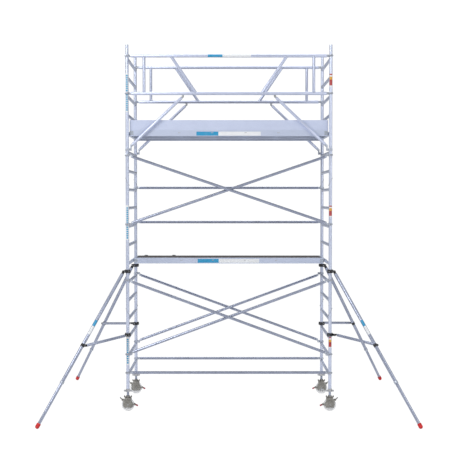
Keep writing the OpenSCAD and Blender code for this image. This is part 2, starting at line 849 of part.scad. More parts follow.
module castor_fork(side, row) {
    at_castor(side, row) {
        color(CASTING) difference() {
            union() {
                for (s = SIDES) translate([0, s * (fork_in + fork_t / 2) + fork_t / 2, 0])
                    rotate([90, 0, 0]) linear_extrude(fork_t) polygon([
                        for (p = fork_outline) [p[0], wheel_z + p[1]]
                    ]);
                translate([-fork_top_w / 2, -fork_in - 1, fork_top_z])
                    cube([fork_top_w, 2 * fork_in + 2, fork_top_t]);
            }
            translate([0, fork_out + past, wheel_z]) rotate([90, 0, 0])
                cylinder(r = axle_r + pin_gap, h = 2 * fork_out + 2 * past);
            translate([0, 0, fork_top_z - past]) cylinder(r = kingpin_r + fit, h = fork_top_t + 2 * past);
            for (s = SIDES) translate([0, s * fork_in - fork_t, pedal_pivot_z]) rotate([-90, 0, 0])
                cylinder(r = strut_pin_r + pin_gap, h = 2 * fork_t);
        }
        color(STEEL) {
            translate([0, fork_out + pin_stub, wheel_z]) rotate([90, 0, 0])
                cylinder(r = axle_r, h = 2 * fork_out + 2 * pin_stub);
            for (s = SIDES) translate([0, s * (fork_out + weld) , wheel_z]) rotate([-90 * s, 0, 0])
                difference() {
                    cylinder(r = axle_nut[0], h = axle_nut[1], $fn = 6);
                    translate([0, 0, -past]) cylinder(r = axle_r + weld, h = axle_nut[1] + 2 * past);
                }
        }
    }
}

module castor_wheel(side, row) {
    half = wheel_w / 2;
    hub_half = fork_in - 1;
    at_castor(side, row) translate([0, 0, wheel_z]) rotate([90, 0, 0]) color(WHEEL)
        rotate_extrude($fn = 96) polygon([
            [axle_r + pin_gap, -hub_half], [hub_r, -hub_half], [hub_r + 4, -web_t / 2],
            [wheel_z - wheel_rim, -web_t / 2], [wheel_z - wheel_rim + 4, -half], [wheel_z - 8, -half],
            [wheel_z - 2, -half + 4], [wheel_z, -half + 10], [wheel_z, half - 10],
            [wheel_z - 2, half - 4], [wheel_z - 8, half], [wheel_z - wheel_rim + 4, half],
            [wheel_z - wheel_rim, web_t / 2], [hub_r + 4, web_t / 2], [hub_r, hub_half],
            [axle_r + pin_gap, hub_half]
        ]);
}

// The brake lever: two side arms joined by a foot pedal at one end and a release tab at the other
module brake_pedal(side, row) {
    w = pedal_in + pedal_t;
    pad_l = norm(pedal_tip - pedal_root);
    tab_l = norm(tab_tip - tab_root);
    at_castor(side, row) translate([0, 0, pedal_pivot_z]) {
        color(CASTING) {
            for (s = SIDES) translate([0, s * (pedal_in + pedal_t / 2) + pedal_t / 2, 0])
                rotate([90, 0, 0]) linear_extrude(pedal_t) {
                    link([0, 0], pedal_root, pedal_arm_r);
                    link([0, 0], tab_root, pedal_arm_r);
                }
            for (s = SIDES) translate([0, s * (fork_in + 1), 0]) rotate([-90 * s, 0, 0])
                cylinder(r = strut_pin_r, h = w - fork_in - 2);
            translate([pedal_root[0], -w, pedal_root[1]])
                rotate([0, -atan2(pedal_tip[1] - pedal_root[1], pedal_tip[0] - pedal_root[0]), 0])
                    translate([-4, 0, -pedal_plate_t / 2]) cube([16, 2 * w, pedal_plate_t]);
            translate([tab_root[0], -w, tab_root[1]])
                rotate([0, -atan2(tab_tip[1] - tab_root[1], tab_tip[0] - tab_root[0]), 0])
                    translate([-6, 0, -pedal_plate_t / 2]) cube([14, 2 * w, pedal_plate_t]);
            translate([tab_root[0], -pedal_plate_w / 2, tab_root[1]])
                rotate([0, -atan2(tab_tip[1] - tab_root[1], tab_tip[0] - tab_root[0]), 0])
                    translate([4, 0, -pedal_plate_t / 2]) cube([tab_l - 4, pedal_plate_w, pedal_plate_t]);
        }
        color(RED) translate([pedal_root[0], -pedal_plate_w / 2, pedal_root[1]])
            rotate([0, -atan2(pedal_tip[1] - pedal_root[1], pedal_tip[0] - pedal_root[0]), 0])
                translate([12 + weld, 0, -pedal_plate_t])
                    cube([pad_l - 12, pedal_plate_w, 2 * pedal_plate_t]);
    }
}

// ---- outriggers ----

// Puts an outrigger's frame on its standard's axis, with +X pointing outwards at 45 degrees
module at_outrigger(side, row) {
    translate([side * corner_x, row * corner_y, 0])
        rotate([0, 0, atan2(row, side)]) children();
}

// A clamp's two halves, split across the radius that the outrigger lies on, with their bolts
module clamp_halves(z) {
    ear_y = clamp_r + clamp_ear[1];
    for (s = SIDES) difference() {
        translate([0, 0, z - clamp_h / 2]) linear_extrude(clamp_h) difference() {
            union() {
                circle(r = clamp_r);
                translate([-clamp_ear[0], -ear_y]) square([2 * clamp_ear[0], 2 * ear_y]);
            }
            circle(r = clamp_fit);
            translate([s > 0 ? clamp_split / 2 - far : -clamp_split / 2, -far / 2]) square([far, far]);
        }
        for (t = SIDES) clamp_bolt(z, t, clamp_bolt_r + weld);
    }
    for (t = SIDES) clamp_bolt(z, t, clamp_bolt_r);
}

module clamp_bolt(z, t, r) {
    translate([-clamp_bolt_len / 2, t * (clamp_r + clamp_ear[1] / 2), z]) rotate([0, 90, 0])
        cylinder(r = r, h = clamp_bolt_len);
}

// A lug plate in the XZ plane, from the clamp's front half out to the pivot
module pivot_lug(z, y, from_x) {
    translate([0, y + out_lug_t / 2, z]) rotate([90, 0, 0]) linear_extrude(out_lug_t) difference() {
        union() {
            translate([pivot_reach, 0]) circle(r = eye_r);
            translate([from_x, -eye_r]) square([pivot_reach - from_x, 2 * eye_r]);
        }
        translate([pivot_reach, 0]) circle(r = pivot_r + pin_gap);
    }
}

module outrigger_clamps(side, row) {
    lug_y = eye_t / 2 + fit + out_lug_t / 2;
    at_outrigger(side, row) {
        color(BLACK) {
            clamp_halves(upper_pivot_z);
            clamp_halves(lower_pivot_z);
            for (s = SIDES) pivot_lug(upper_pivot_z, s * lug_y, clamp_fit);
            pivot_lug(lower_pivot_z, side_lug_y, clamp_fit / 2);
        }
        color(STEEL) {
            translate([pivot_reach, lug_y + out_lug_t / 2 + head_h, upper_pivot_z]) rotate([90, 0, 0])
                cylinder(r = pivot_r, h = 2 * lug_y + out_lug_t + 2 * head_h);
            translate([pivot_reach, side_lug_y - out_lug_t / 2 - head_h, lower_pivot_z])
                rotate([-90, 0, 0])
                    cylinder(r = pivot_r, h = arm_y + arm_plate_t + head_h + out_lug_t / 2 - side_lug_y);
        }
    }
}

// Puts its children on an outrigger leg's axis: +Z runs from the upper pivot down to the foot
module on_leg() {
    translate([pivot_reach, 0, upper_pivot_z]) rotate([0, 180 - leg_angle, 0]) children();
}

module outrigger_leg(side, row) {
    at_outrigger(side, row) on_leg() {
        color(BRACE_ALUMINIUM) translate([0, 0, leg_start])
            tube(outer_len - leg_start, outrigger_d, outrigger_wall);
        color(BLACK) {
            leg_eye();
            translate([0, 0, outer_len - lock_collar_h]) difference() {
                cylinder(d = outrigger_d + 2 * lock_collar_t, h = lock_collar_h - 2);
                translate([0, 0, -past])
                    cylinder(d = outrigger_d + 2 * weld, h = lock_collar_h + 2 * past);
            }
            difference() {
                translate([0, 0, arm_at - arm_collar_h / 2])
                    cylinder(d = outrigger_d + 2 * arm_collar_t, h = arm_collar_h);
                translate([0, 0, arm_at - arm_collar_h])
                    cylinder(d = outrigger_d + 2 * weld, h = 2 * arm_collar_h);
                arm_bolt(pivot_r + weld);
            }
        }
        color(STEEL) difference() {
            arm_bolt(pivot_r);
            translate([0, 0, arm_at - arm_collar_h])
                cylinder(d = outrigger_d + 2 * weld, h = 2 * arm_collar_h);
        }
    }
}

// The stub bolt that an arm turns on, from the leg's axis outwards
module arm_bolt(r) {
    translate([0, 0, arm_at]) rotate([-90, 0, 0]) cylinder(r = r, h = arm_y + arm_plate_t);
}

module leg_eye() {
    difference() {
        union() {
            rotate([90, 0, 0]) cylinder(r = eye_r, h = eye_t, center = true);
            translate([1 - eye_r, -eye_t / 2, 4]) cube([2 * eye_r - 2, eye_t, leg_start - 4 - weld]);
            translate([0, 0, leg_start - 8]) cylinder(d = inner_d, h = plug_len);
        }
        rotate([90, 0, 0]) cylinder(r = pivot_r + pin_gap, h = 2 * eye_t, center = true);
    }
}

module outrigger_foot(side, row) {
    at_outrigger(side, row) on_leg() {
        color(BRACE_ALUMINIUM) translate([0, 0, inner_start])
            tube(sole_at - foot_h + foot_socket - inner_start, inner_d, outrigger_wall);
        color(RED) difference() {
            translate([0, 0, sole_at]) mirror([0, 0, 1]) rotate_extrude() intersection() {
                union() {
                    circle(r = foot_r);
                    square([foot_r, foot_h]);
                }
                translate([0, -far / 2]) square([far, far]);
            }
            translate([0, 0, sole_at - foot_h - past])
                cylinder(d = inner_d + 2 * weld, h = foot_socket + past + weld);
        }
    }
}

// The arm lies beside the leg; its inner end is a saddle that lifts off the lower clamp's pin
module outrigger_arm(side, row) {
    joint = [arm_joint[0], arm_y, arm_joint[1]];
    saddle = [pivot_reach, arm_y, lower_pivot_z];
    plug_d = arm_d - 2 * tube_wall - 2 * fit;
    at_outrigger(side, row) {
        color(BRACE_ALUMINIUM) towards(joint, saddle) translate([0, 0, arm_end_gap])
            tube(arm_len - 2 * arm_end_gap, arm_d, tube_wall);
        color(BLACK) {
            towards(joint, saddle) difference() {
                union() {
                    rotate([90, 0, 0]) cylinder(r = eye_r, h = arm_plate_t, center = true);
                    translate([1 - eye_r, -arm_plate_t / 2, 2])
                        cube([2 * eye_r - 2, arm_plate_t, arm_end_gap - 2 - weld]);
                    translate([0, 0, arm_end_gap - 6]) cylinder(d = plug_d, h = plug_len);
                }
                rotate([90, 0, 0]) cylinder(r = pivot_r + pin_gap, h = 2 * arm_plate_t, center = true);
            }
            towards(saddle, joint) translate([0, 0, arm_end_gap - 6]) cylinder(d = plug_d, h = plug_len);
            translate(saddle + [0, arm_plate_t / 2, 0]) rotate([90, 0, 0])
                linear_extrude(arm_plate_t) difference() {
                    union() {
                        intersection() {
                            circle(r = eye_r);
                            translate([-eye_r, 0]) square([2 * eye_r, eye_r]);
                        }
                        translate([saddle_mouth, -eye_r + 3])
                            square([arm_end_gap - 2 - saddle_mouth, 2 * eye_r - 5]);
                    }
                    circle(r = pivot_r + 2 * fit);
                }
        }
    }
}

ladder_frame(LEFT, frame_z, base_rungs);  // frame_base_left
ladder_frame(RIGHT, frame_z, base_rungs);  // frame_base_right
ladder_frame(LEFT, middle_z, lift_rungs);  // frame_middle_left
ladder_frame(RIGHT, middle_z, lift_rungs);  // frame_middle_right
ladder_frame(LEFT, top_z, lift_rungs);  // frame_top_left
ladder_frame(RIGHT, top_z, lift_rungs);  // frame_top_right
frame_lock_clips();
horizontal_braces();
diagonal_braces_front_base();
diagonal_braces_rear_base();
diagonal_braces_front_upper();
brace_claws();
lower_deck_frame();
upper_hatch_deck_frame();
upper_plain_deck_frame();
deck_boards();
lower_hatch();
upper_hatch();
deck_hooks();
toe_boards_long();
toe_boards_end();
guardrail_front();
guardrail_rear();
strut(LEFT, FRONT);  // strut_front_left
strut(RIGHT, FRONT);  // strut_front_right
strut(LEFT, REAR);  // strut_rear_left
strut(RIGHT, REAR);  // strut_rear_right
castor_wing_nuts();
castor_leg(LEFT, FRONT);  // castor_leg_front_left
castor_leg(RIGHT, FRONT);  // castor_leg_front_right
castor_leg(LEFT, REAR);  // castor_leg_rear_left
castor_leg(RIGHT, REAR);  // castor_leg_rear_right
castor_fork(LEFT, FRONT);  // castor_fork_front_left
castor_fork(RIGHT, FRONT);  // castor_fork_front_right
castor_fork(LEFT, REAR);  // castor_fork_rear_left
castor_fork(RIGHT, REAR);  // castor_fork_rear_right
castor_wheel(LEFT, FRONT);  // castor_wheel_front_left
castor_wheel(RIGHT, FRONT);  // castor_wheel_front_right
castor_wheel(LEFT, REAR);  // castor_wheel_rear_left
castor_wheel(RIGHT, REAR);  // castor_wheel_rear_right
brake_pedal(LEFT, FRONT);  // brake_pedal_front_left
brake_pedal(RIGHT, FRONT);  // brake_pedal_front_right
brake_pedal(LEFT, REAR);  // brake_pedal_rear_left
brake_pedal(RIGHT, REAR);  // brake_pedal_rear_right
outrigger_clamps(LEFT, FRONT);  // outrigger_clamps_front_left
outrigger_clamps(RIGHT, FRONT);  // outrigger_clamps_front_right
outrigger_clamps(LEFT, REAR);  // outrigger_clamps_rear_left
outrigger_clamps(RIGHT, REAR);  // outrigger_clamps_rear_right
outrigger_leg(LEFT, FRONT);  // outrigger_leg_front_left
outrigger_leg(RIGHT, FRONT);  // outrigger_leg_front_right
outrigger_leg(LEFT, REAR);  // outrigger_leg_rear_left
outrigger_leg(RIGHT, REAR);  // outrigger_leg_rear_right
outrigger_foot(LEFT, FRONT);  // outrigger_foot_front_left
outrigger_foot(RIGHT, FRONT);  // outrigger_foot_front_right
outrigger_foot(LEFT, REAR);  // outrigger_foot_rear_left
outrigger_foot(RIGHT, REAR);  // outrigger_foot_rear_right
outrigger_arm(LEFT, FRONT);  // outrigger_arm_front_left
outrigger_arm(RIGHT, FRONT);  // outrigger_arm_front_right
outrigger_arm(LEFT, REAR);  // outrigger_arm_rear_left
outrigger_arm(RIGHT, REAR);  // outrigger_arm_rear_right
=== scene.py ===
import math

import bmesh
import bpy
from mathutils import Matrix, Vector


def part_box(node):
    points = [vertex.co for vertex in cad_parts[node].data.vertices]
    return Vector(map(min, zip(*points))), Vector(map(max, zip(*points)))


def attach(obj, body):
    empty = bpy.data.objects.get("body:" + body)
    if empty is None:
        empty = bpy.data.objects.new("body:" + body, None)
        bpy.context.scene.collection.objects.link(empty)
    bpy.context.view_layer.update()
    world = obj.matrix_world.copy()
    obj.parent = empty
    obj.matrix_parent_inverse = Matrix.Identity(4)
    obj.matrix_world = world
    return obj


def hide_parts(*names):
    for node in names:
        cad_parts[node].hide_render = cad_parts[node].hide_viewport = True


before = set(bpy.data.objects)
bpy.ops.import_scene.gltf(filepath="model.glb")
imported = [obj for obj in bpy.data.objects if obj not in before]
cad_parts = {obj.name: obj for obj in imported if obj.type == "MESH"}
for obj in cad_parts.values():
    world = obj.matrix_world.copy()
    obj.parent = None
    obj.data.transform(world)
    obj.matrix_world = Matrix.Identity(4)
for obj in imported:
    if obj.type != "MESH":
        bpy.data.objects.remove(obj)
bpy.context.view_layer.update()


# ---- Camera and studio ----
# The tower stands on a plain pale floor under soft light from all round, with a large soft lamp
# at the front left. The camera looks at it from the front, from a little under half its height.

camera = bpy.data.objects.new("camera", bpy.data.cameras.new("camera"))
camera.data.lens = 76.4
camera.data.clip_end = 200
camera.location = (-0.021, -15.16, 3.22)
camera.rotation_euler = (math.radians(90 - 1.77), 0, 0)
bpy.context.scene.collection.objects.link(camera)
bpy.context.scene.camera = camera

bpy.context.scene.view_settings.view_transform = "Standard"


class Nodes:
    """Adds the nodes of one material or group, and wires them as they are added."""

    def __init__(self, tree):
        self.tree = tree

    def add(self, kind, inputs=None, **settings):
        node = self.tree.nodes.new(kind)
        for key, value in settings.items():
            setattr(node, key, value)
        for key, value in (inputs or {}).items():
            if isinstance(value, bpy.types.NodeSocket):
                self.tree.links.new(value, node.inputs[key])
            else:
                node.inputs[key].default_value = value
        return node


def studio_world():
    """White to the camera; to the metal, a bright ceiling over dimmer sides, so tubes get dark edges."""
    world = bpy.data.worlds.new("studio")
    bpy.context.scene.world = world
    world.use_nodes = True
    world.node_tree.nodes.clear()
    nodes = Nodes(world.node_tree)
    up = nodes.add("ShaderNodeSeparateXYZ", {0: nodes.add("ShaderNodeTexCoord").outputs["Generated"]})
    ramp = nodes.add("ShaderNodeValToRGB", {0: nodes.add(
        "ShaderNodeMapRange", {0: up.outputs["Z"], 1: -1.0, 2: 1.0}).outputs[0]})
    stops = ramp.color_ramp.elements
    stops[0].position, stops[0].color = 0.0, (0.80, 0.81, 0.84, 1)
    stops[1].position, stops[1].color = 1.0, (1.0, 1.0, 1.0, 1)
    for place, shade in ((0.46, 0.62), (0.55, 0.26), (0.75, 0.62)):
        stop = stops.new(place)
        stop.color = (shade, shade * 1.02, shade * 1.06, 1)
    room = nodes.add("ShaderNodeBackground", {0: ramp.outputs[0], 1: 0.8})
    white = nodes.add("ShaderNodeBackground", {0: (1, 1, 1, 1), 1: 1.05})
    seen = nodes.add("ShaderNodeLightPath").outputs["Is Camera Ray"]
    both = nodes.add("ShaderNodeMixShader", {0: seen, 1: room.outputs[0], 2: white.outputs[0]})
    nodes.add("ShaderNodeOutputWorld", {0: both.outputs[0]})


def studio_lamp(name, place, aim, size, power):
    lamp = bpy.data.objects.new(name, bpy.data.lights.new(name, "AREA"))
    lamp.data.size = size
    lamp.data.energy = power
    lamp.location = place
    lamp.rotation_euler = (Vector(aim) - Vector(place)).to_track_quat("-Z", "Y").to_euler()
    bpy.context.scene.collection.objects.link(lamp)


def studio_floor():
    """A pale floor that fades into the white behind it, with a faint soft shadow."""
    shape = bmesh.new()
    bmesh.ops.create_grid(shape, x_segments=1, y_segments=1, size=60)
    mesh = bpy.data.meshes.new("floor")
    shape.to_mesh(mesh)
    shape.free()
    floor = bpy.data.objects.new("floor", mesh)
    floor.location.z = -0.0005
    bpy.context.scene.collection.objects.link(floor)
    material = bpy.data.materials.new("pale_floor")
    material.use_nodes = True
    material.node_tree.nodes.clear()
    nodes = Nodes(material.node_tree)
    matt = nodes.add("ShaderNodeBsdfDiffuse", {0: (0.86, 0.86, 0.87, 1)})
    glow = nodes.add("ShaderNodeEmission", {0: (1, 1, 1, 1), 1: 1.08})
    seen = nodes.add("ShaderNodeLightPath").outputs["Is Camera Ray"]
    share = nodes.add("ShaderNodeMath", {0: seen, 1: 0.9}, operation="MULTIPLY")
    both = nodes.add("ShaderNodeMixShader", {0: share.outputs[0], 1: matt.outputs[0],
                                             2: glow.outputs[0]})
    nodes.add("ShaderNodeOutputMaterial", {0: both.outputs[0]})
    mesh.materials.append(material)


studio_world()
studio_floor()
studio_lamp("key", (-7, -9, 9), (0, 0, 2.6), 6, 620)
studio_lamp("fill", (8, -8, 5), (0, 0, 2.4), 6, 200)
studio_lamp("top", (0, 3, 12), (0, 0, 2.5), 8, 350)


# ---- Ladder frames ----
# Six welded frames of drawn aluminium tube: two standards joined by rungs. The tube keeps the fine
# lines of the drawing die along its length, and handling leaves it dull in patches.

low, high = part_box("frame_base_left")
STANDARD_R = (high.x - low.x) / 2
CORNER_X = -(low.x + high.x) / 2
CORNER_Y = high.y - STANDARD_R
FRAME_Z = low.z
RUNG_PITCH = (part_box("frame_middle_left")[0].z - FRAME_Z) / 4
FIRST_RUNG = 0.205
RUNGS = 18
RUNG_R = 0.0225
SIDES = {"left": -1, "right": 1}
ROWS = {"front": -1, "rear": 1}
CORNERS = [(f"{row}_{side}", SIDES[side], ROWS[row]) for row in ROWS for side in SIDES]


def rung_z(k):
    return FRAME_Z + FIRST_RUNG + k * RUNG_PITCH


def shader_group(name, inputs, outputs):
    """An empty shader group with named sockets."""
    tree = bpy.data.node_groups.new(name, "ShaderNodeTree")
    for key, kind, value in inputs:
        socket = tree.interface.new_socket(key, in_out="INPUT", socket_type="NodeSocket" + kind)
        socket.default_value = value
    for key in outputs:
        tree.interface.new_socket(key, in_out="OUTPUT", socket_type="NodeSocketFloat")
    nodes = Nodes(tree)
    return nodes, nodes.add("NodeGroupInput"), nodes.add("NodeGroupOutput")


def give(nodes, out, **values):
    for key, value in values.items():
        nodes.tree.links.new(value, out.inputs[key])


def drawn_lines_group():
    """Lines along the drawing direction, under slow cloudy patches and small marks of handling."""
    nodes, given, out = shader_group(
        "drawn_lines", [("Along", "Vector", (0, 0, 1)), ("Patches", "Float", 0.5)],
        ["Shade", "Dull", "Height"])
    place = nodes.add("ShaderNodeTexCoord").outputs["Object"]
    far = nodes.add("ShaderNodeVectorMath", {0: place, 1: given.outputs["Along"]},
                    operation="DOT_PRODUCT")
    run = nodes.add("ShaderNodeVectorMath", {0: given.outputs["Along"], "Scale": far.outputs["Value"]},
                    operation="SCALE")
    across = nodes.add("ShaderNodeVectorMath", {0: run.outputs[0], 1: (-0.99, -0.99, -0.99), 2: place},
                       operation="MULTIPLY_ADD")
    lines = nodes.add("ShaderNodeTexNoise", {"Vector": across.outputs[0], "Scale": 420.0,
                                            "Detail": 3.0})
    cloud = nodes.add("ShaderNodeTexNoise", {"Vector": place, "Scale": 5.0, "Detail": 5.0,
                                            "Roughness": 0.62})
    marks = nodes.add("ShaderNodeTexNoise", {"Vector": place, "Scale": 38.0, "Detail": 4.0,
                                            "Roughness": 0.7})
    worn = nodes.add("ShaderNodeMapRange", {0: cloud.outputs[0], 1: 0.40, 2: 0.68})
    speck = nodes.add("ShaderNodeMapRange", {0: marks.outputs[0], 1: 0.60, 2: 0.72})
    patch = nodes.add("ShaderNodeMath", {0: worn.outputs[0], 1: given.outputs["Patches"]},
                      operation="MULTIPLY")
    shade = nodes.add("ShaderNodeMath", {0: lines.outputs[0], 1: 0.6, 2: patch.outputs[0]},
                      operation="MULTIPLY_ADD")
    dull = nodes.add("ShaderNodeMath", {0: speck.outputs[0], 1: 0.5, 2: patch.outputs[0]},
                     operation="MULTIPLY_ADD")
    give(nodes, out, Shade=shade.outputs[0], Dull=dull.outputs[0], Height=lines.outputs[0])
    return nodes.tree


DRAWN_LINES = drawn_lines_group()


def new_material(name):
    material = bpy.data.materials.new(name)
    material.use_nodes = True
    material.node_tree.nodes.clear()
    return material, Nodes(material.node_tree)


def grouped(nodes, group, **values):
    node = nodes.add("ShaderNodeGroup", node_tree=group)
    for key, value in values.items():
        node.inputs[key].default_value = value
    return node


def blend_colours(nodes, mask, low_colour, high_colour):
    """A colour that goes from one to another as a mask goes from 0 to 1."""
    mix = nodes.add("ShaderNodeMix", {0: mask}, data_type="RGBA")
    for key, colour in ((6, low_colour), (7, high_colour)):
        if isinstance(colour, bpy.types.NodeSocket):
            nodes.tree.links.new(colour, mix.inputs[key])
        else:
            mix.inputs[key].default_value = (*colour, 1)
    return mix.outputs[2]


def close_material(nodes, colour, rough, height, bump=0.2, depth=0.0004, **constants):
    """The Principled shader of a material with its bump, and constants on its own sockets."""
    normal = nodes.add("ShaderNodeBump", {"Strength": bump, "Distance": depth, "Height": height})
    shader = nodes.add("ShaderNodeBsdfPrincipled", {
        "Base Color": colour, "Roughness": rough, "Normal": normal.outputs[0]})
    for key, value in constants.items():
        shader.inputs[key.replace("_", " ")].default_value = value
    nodes.add("ShaderNodeOutputMaterial", {0: shader.outputs[0]})


def drawn_aluminium(name, along, dark, light, rough=(0.30, 0.50), patches=0.28, metallic=0.55):
    """Drawn or extruded aluminium, whose lines run along a direction."""
    material, nodes = new_material(name)
    lines = grouped(nodes, DRAWN_LINES, Along=tuple(along), Patches=patches)
    colour = blend_colours(nodes, lines.outputs["Shade"], light, dark)
    gloss = nodes.add("ShaderNodeMapRange", {0: lines.outputs["Dull"], 3: rough[0], 4: rough[1]})
    close_material(nodes, colour, gloss.outputs[0], lines.outputs["Height"], 0.05, 0.0002,
                   Metallic=metallic)
    return material


STANDARD_METAL = drawn_aluminium("standard_tube", (0, 0, 1), (0.56, 0.62, 0.78), (0.74, 0.79, 0.94))
RUNG_METAL = drawn_aluminium("rung_tube", (0, 1, 0), (0.52, 0.58, 0.72), (0.70, 0.75, 0.89))


def finish_piece(name, shape, materials, body, replaced=(), crease=35):
    """Turns a bmesh into a piece that rides on a body, smooth but for its creases."""
    mesh = bpy.data.meshes.new(name)
    shape.to_mesh(mesh)
    shape.free()
    mesh.polygons.foreach_set("use_smooth", [True] * len(mesh.polygons))
    mesh.set_sharp_from_angle(angle=math.radians(crease))
    for material in materials:
        mesh.materials.append(material)
    piece = bpy.data.objects.new(name, mesh)
    bpy.context.scene.collection.objects.link(piece)
    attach(piece, body)
    if replaced:
        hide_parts(*replaced)
    return piece


def paint_node(node, materials, choose=None):
    """Gives a CAD node its materials; choose(face) says which of them a face takes."""
    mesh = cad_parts[node].data
    mesh.materials.clear()
    for material in materials:
        mesh.materials.append(material)
    if choose:
        for face in mesh.polygons:
            face.material_index = choose(face)


def off_the_standards(face):
    """1 for a ladder frame's face on a rung, and 0 on a standard or spigot."""
    return int(abs(abs(face.center.y) - CORNER_Y) > STANDARD_R + 0.00005)


for level in ("base", "middle", "top"):
    for side in SIDES:
        paint_node(f"frame_{level}_{side}", [STANDARD_METAL, RUNG_METAL], off_the_standards)


# ---- Rung welds and treads ----
# Each rung is welded all round where it meets a standard, in a bead of small overlapping ripples.
# The rungs are extruded with fine ribs along their upper side, so that boots grip.

WELD_R = 0.0032
WELD_STEPS = 36
WELD_RIPPLE = 0.0004
RIB_COUNT = 7
RIB_TURN = math.radians(13)
RIB_SECTION = (0.0016, 0.0022)
RIB_END = 0.03


def cast_skin_group():
    """Pebbled grain and cloudy staining, as on cast, forged or welded metal."""
    nodes, given, out = shader_group(
        "cast_skin", [("Grain", "Float", 260.0), ("Stain", "Float", 0.6)], ["Shade", "Dull", "Height"])
    place = nodes.add("ShaderNodeTexCoord").outputs["Object"]
    grain = nodes.add("ShaderNodeTexNoise", {"Vector": place, "Scale": given.outputs["Grain"],
                                            "Detail": 3.0, "Roughness": 0.6})
    cloud = nodes.add("ShaderNodeTexNoise", {"Vector": place, "Scale": 17.0, "Detail": 5.0})
    stain = nodes.add("ShaderNodeMapRange", {0: cloud.outputs[0], 1: 0.38, 2: 0.66})
    shade = nodes.add("ShaderNodeMath", {0: stain.outputs[0], 1: given.outputs["Stain"]},
                      operation="MULTIPLY")
    both = nodes.add("ShaderNodeMath", {0: grain.outputs[0], 1: 0.35, 2: shade.outputs[0]},
                     operation="MULTIPLY_ADD")
    give(nodes, out, Shade=both.outputs[0], Dull=stain.outputs[0], Height=grain.outputs[0])
    return nodes.tree


CAST_SKIN = cast_skin_group()


def cast_metal(name, dark, light, rough=(0.38, 0.60), grain=260.0, bump=0.35, metallic=0.75):
    material, nodes = new_material(name)
    skin = grouped(nodes, CAST_SKIN, Grain=grain)
    colour = blend_colours(nodes, skin.outputs["Shade"], light, dark)
    gloss = nodes.add("ShaderNodeMapRange", {0: skin.outputs["Dull"], 3: rough[0], 4: rough[1]})
    close_material(nodes, colour, gloss.outputs[0], skin.outputs["Height"], bump, 0.0005,
                   Metallic=metallic)
    return material


WELD_METAL = cast_metal("weld_bead", (0.36, 0.40, 0.47), (0.58, 0.63, 0.71), grain=420.0)


def turned(shape, outline, centre, axis, steps, bend=None):
    """Turns an outline of (radius, height) points once about an axis; bend(vert) may then move it."""
    place = Matrix.Translation(centre) @ Vector((0, 0, 1)).rotation_difference(axis).to_matrix().to_4x4()
    part = bmesh.new()
    verts = [part.verts.new(place @ Vector((r, 0, h))) for r, h in outline]
    edges = [part.edges.new(pair) for pair in zip(verts, verts[1:])]
    if outline[0][0] > 1e-6:
        edges.append(part.edges.new((verts[-1], verts[0])))
    bmesh.ops.spin(part, geom=verts + edges, cent=centre, axis=axis, angle=math.tau, steps=steps,
                   use_merge=True)
    bmesh.ops.remove_doubles(part, verts=part.verts, dist=1e-6)
    bmesh.ops.recalc_face_normals(part, faces=part.faces)
    for vert in part.verts if bend else ():
        bend(vert)
    mesh = bpy.data.meshes.new("part")
    part.to_mesh(mesh)
    part.free()
    shape.from_mesh(mesh)
    bpy.data.meshes.remove(mesh)


def weld_bead(shape, point, along, tube_r, post_axis, post_r):
    """A rippled bead where a tube that runs along a direction lands on a round post."""
    section = [(tube_r + WELD_R * math.cos(a), WELD_R * math.sin(a))
               for a in (math.tau * i / 6 for i in range(6))]

    def bend(vert):
        out = vert.co - point
        out = (out - along * out.dot(along)).normalized()
        seam = out * tube_r
        off = seam - post_axis * seam.dot(post_axis)
        slant = along - post_axis * along.dot(post_axis)
        a, b, c = slant.length_squared, 2 * off.dot(slant), off.length_squared - post_r ** 2
        reach = (math.sqrt(max(b * b - 4 * a * c, 0)) - b) / (2 * a)
        turn = math.atan2(out.z, out.x + out.y)
        vert.co += along * reach + out * WELD_RIPPLE * math.cos(20 * turn)

    turned(shape, section, point, along, WELD_STEPS, bend)


def block(shape, size, place):
    """A box of the given size, put where a matrix says."""
    return bmesh.ops.create_cube(shape, size=1, matrix=place @ Matrix.Diagonal((*size, 1)))["verts"]


UP = Vector((0, 0, 1))
ACROSS = Vector((0, 1, 0))
BAY = Vector((1, 0, 0))

welds = bmesh.new()
treads = bmesh.new()
for x in (-CORNER_X, CORNER_X):
    for k in range(RUNGS):
        for row in ROWS.values():
            weld_bead(welds, Vector((x, row * CORNER_Y, rung_z(k))), -row * ACROSS, RUNG_R, UP,
                      STANDARD_R)
        for i in range(RIB_COUNT):
            lean = (i - (RIB_COUNT - 1) / 2) * RIB_TURN
            place = Matrix.Translation((x, 0, rung_z(k))) @ Matrix.Rotation(lean, 4, "Y")
            length = 2 * (CORNER_Y - STANDARD_R - RIB_END)
            block(treads, (RIB_SECTION[0], length, RIB_SECTION[1]),
                  place @ Matrix.Translation((0, 0, RUNG_R)))
finish_piece("rung_welds", welds, [WELD_METAL], "tower", crease=60)
finish_piece("rung_treads", treads, [RUNG_METAL], "tower")


# ---- Frame lock clips ----
# A sprung ring of zinc-plated wire lies aslant round each joint, with a pin at each end through
# the standard and the spigot inside it.

ZINC_STEEL = cast_metal("zinc_steel", (0.38, 0.39, 0.40), (0.66, 0.67, 0.68), (0.25, 0.48), 600.0,
                        0.12, 0.9)
paint_node("frame_lock_clips", [ZINC_STEEL])
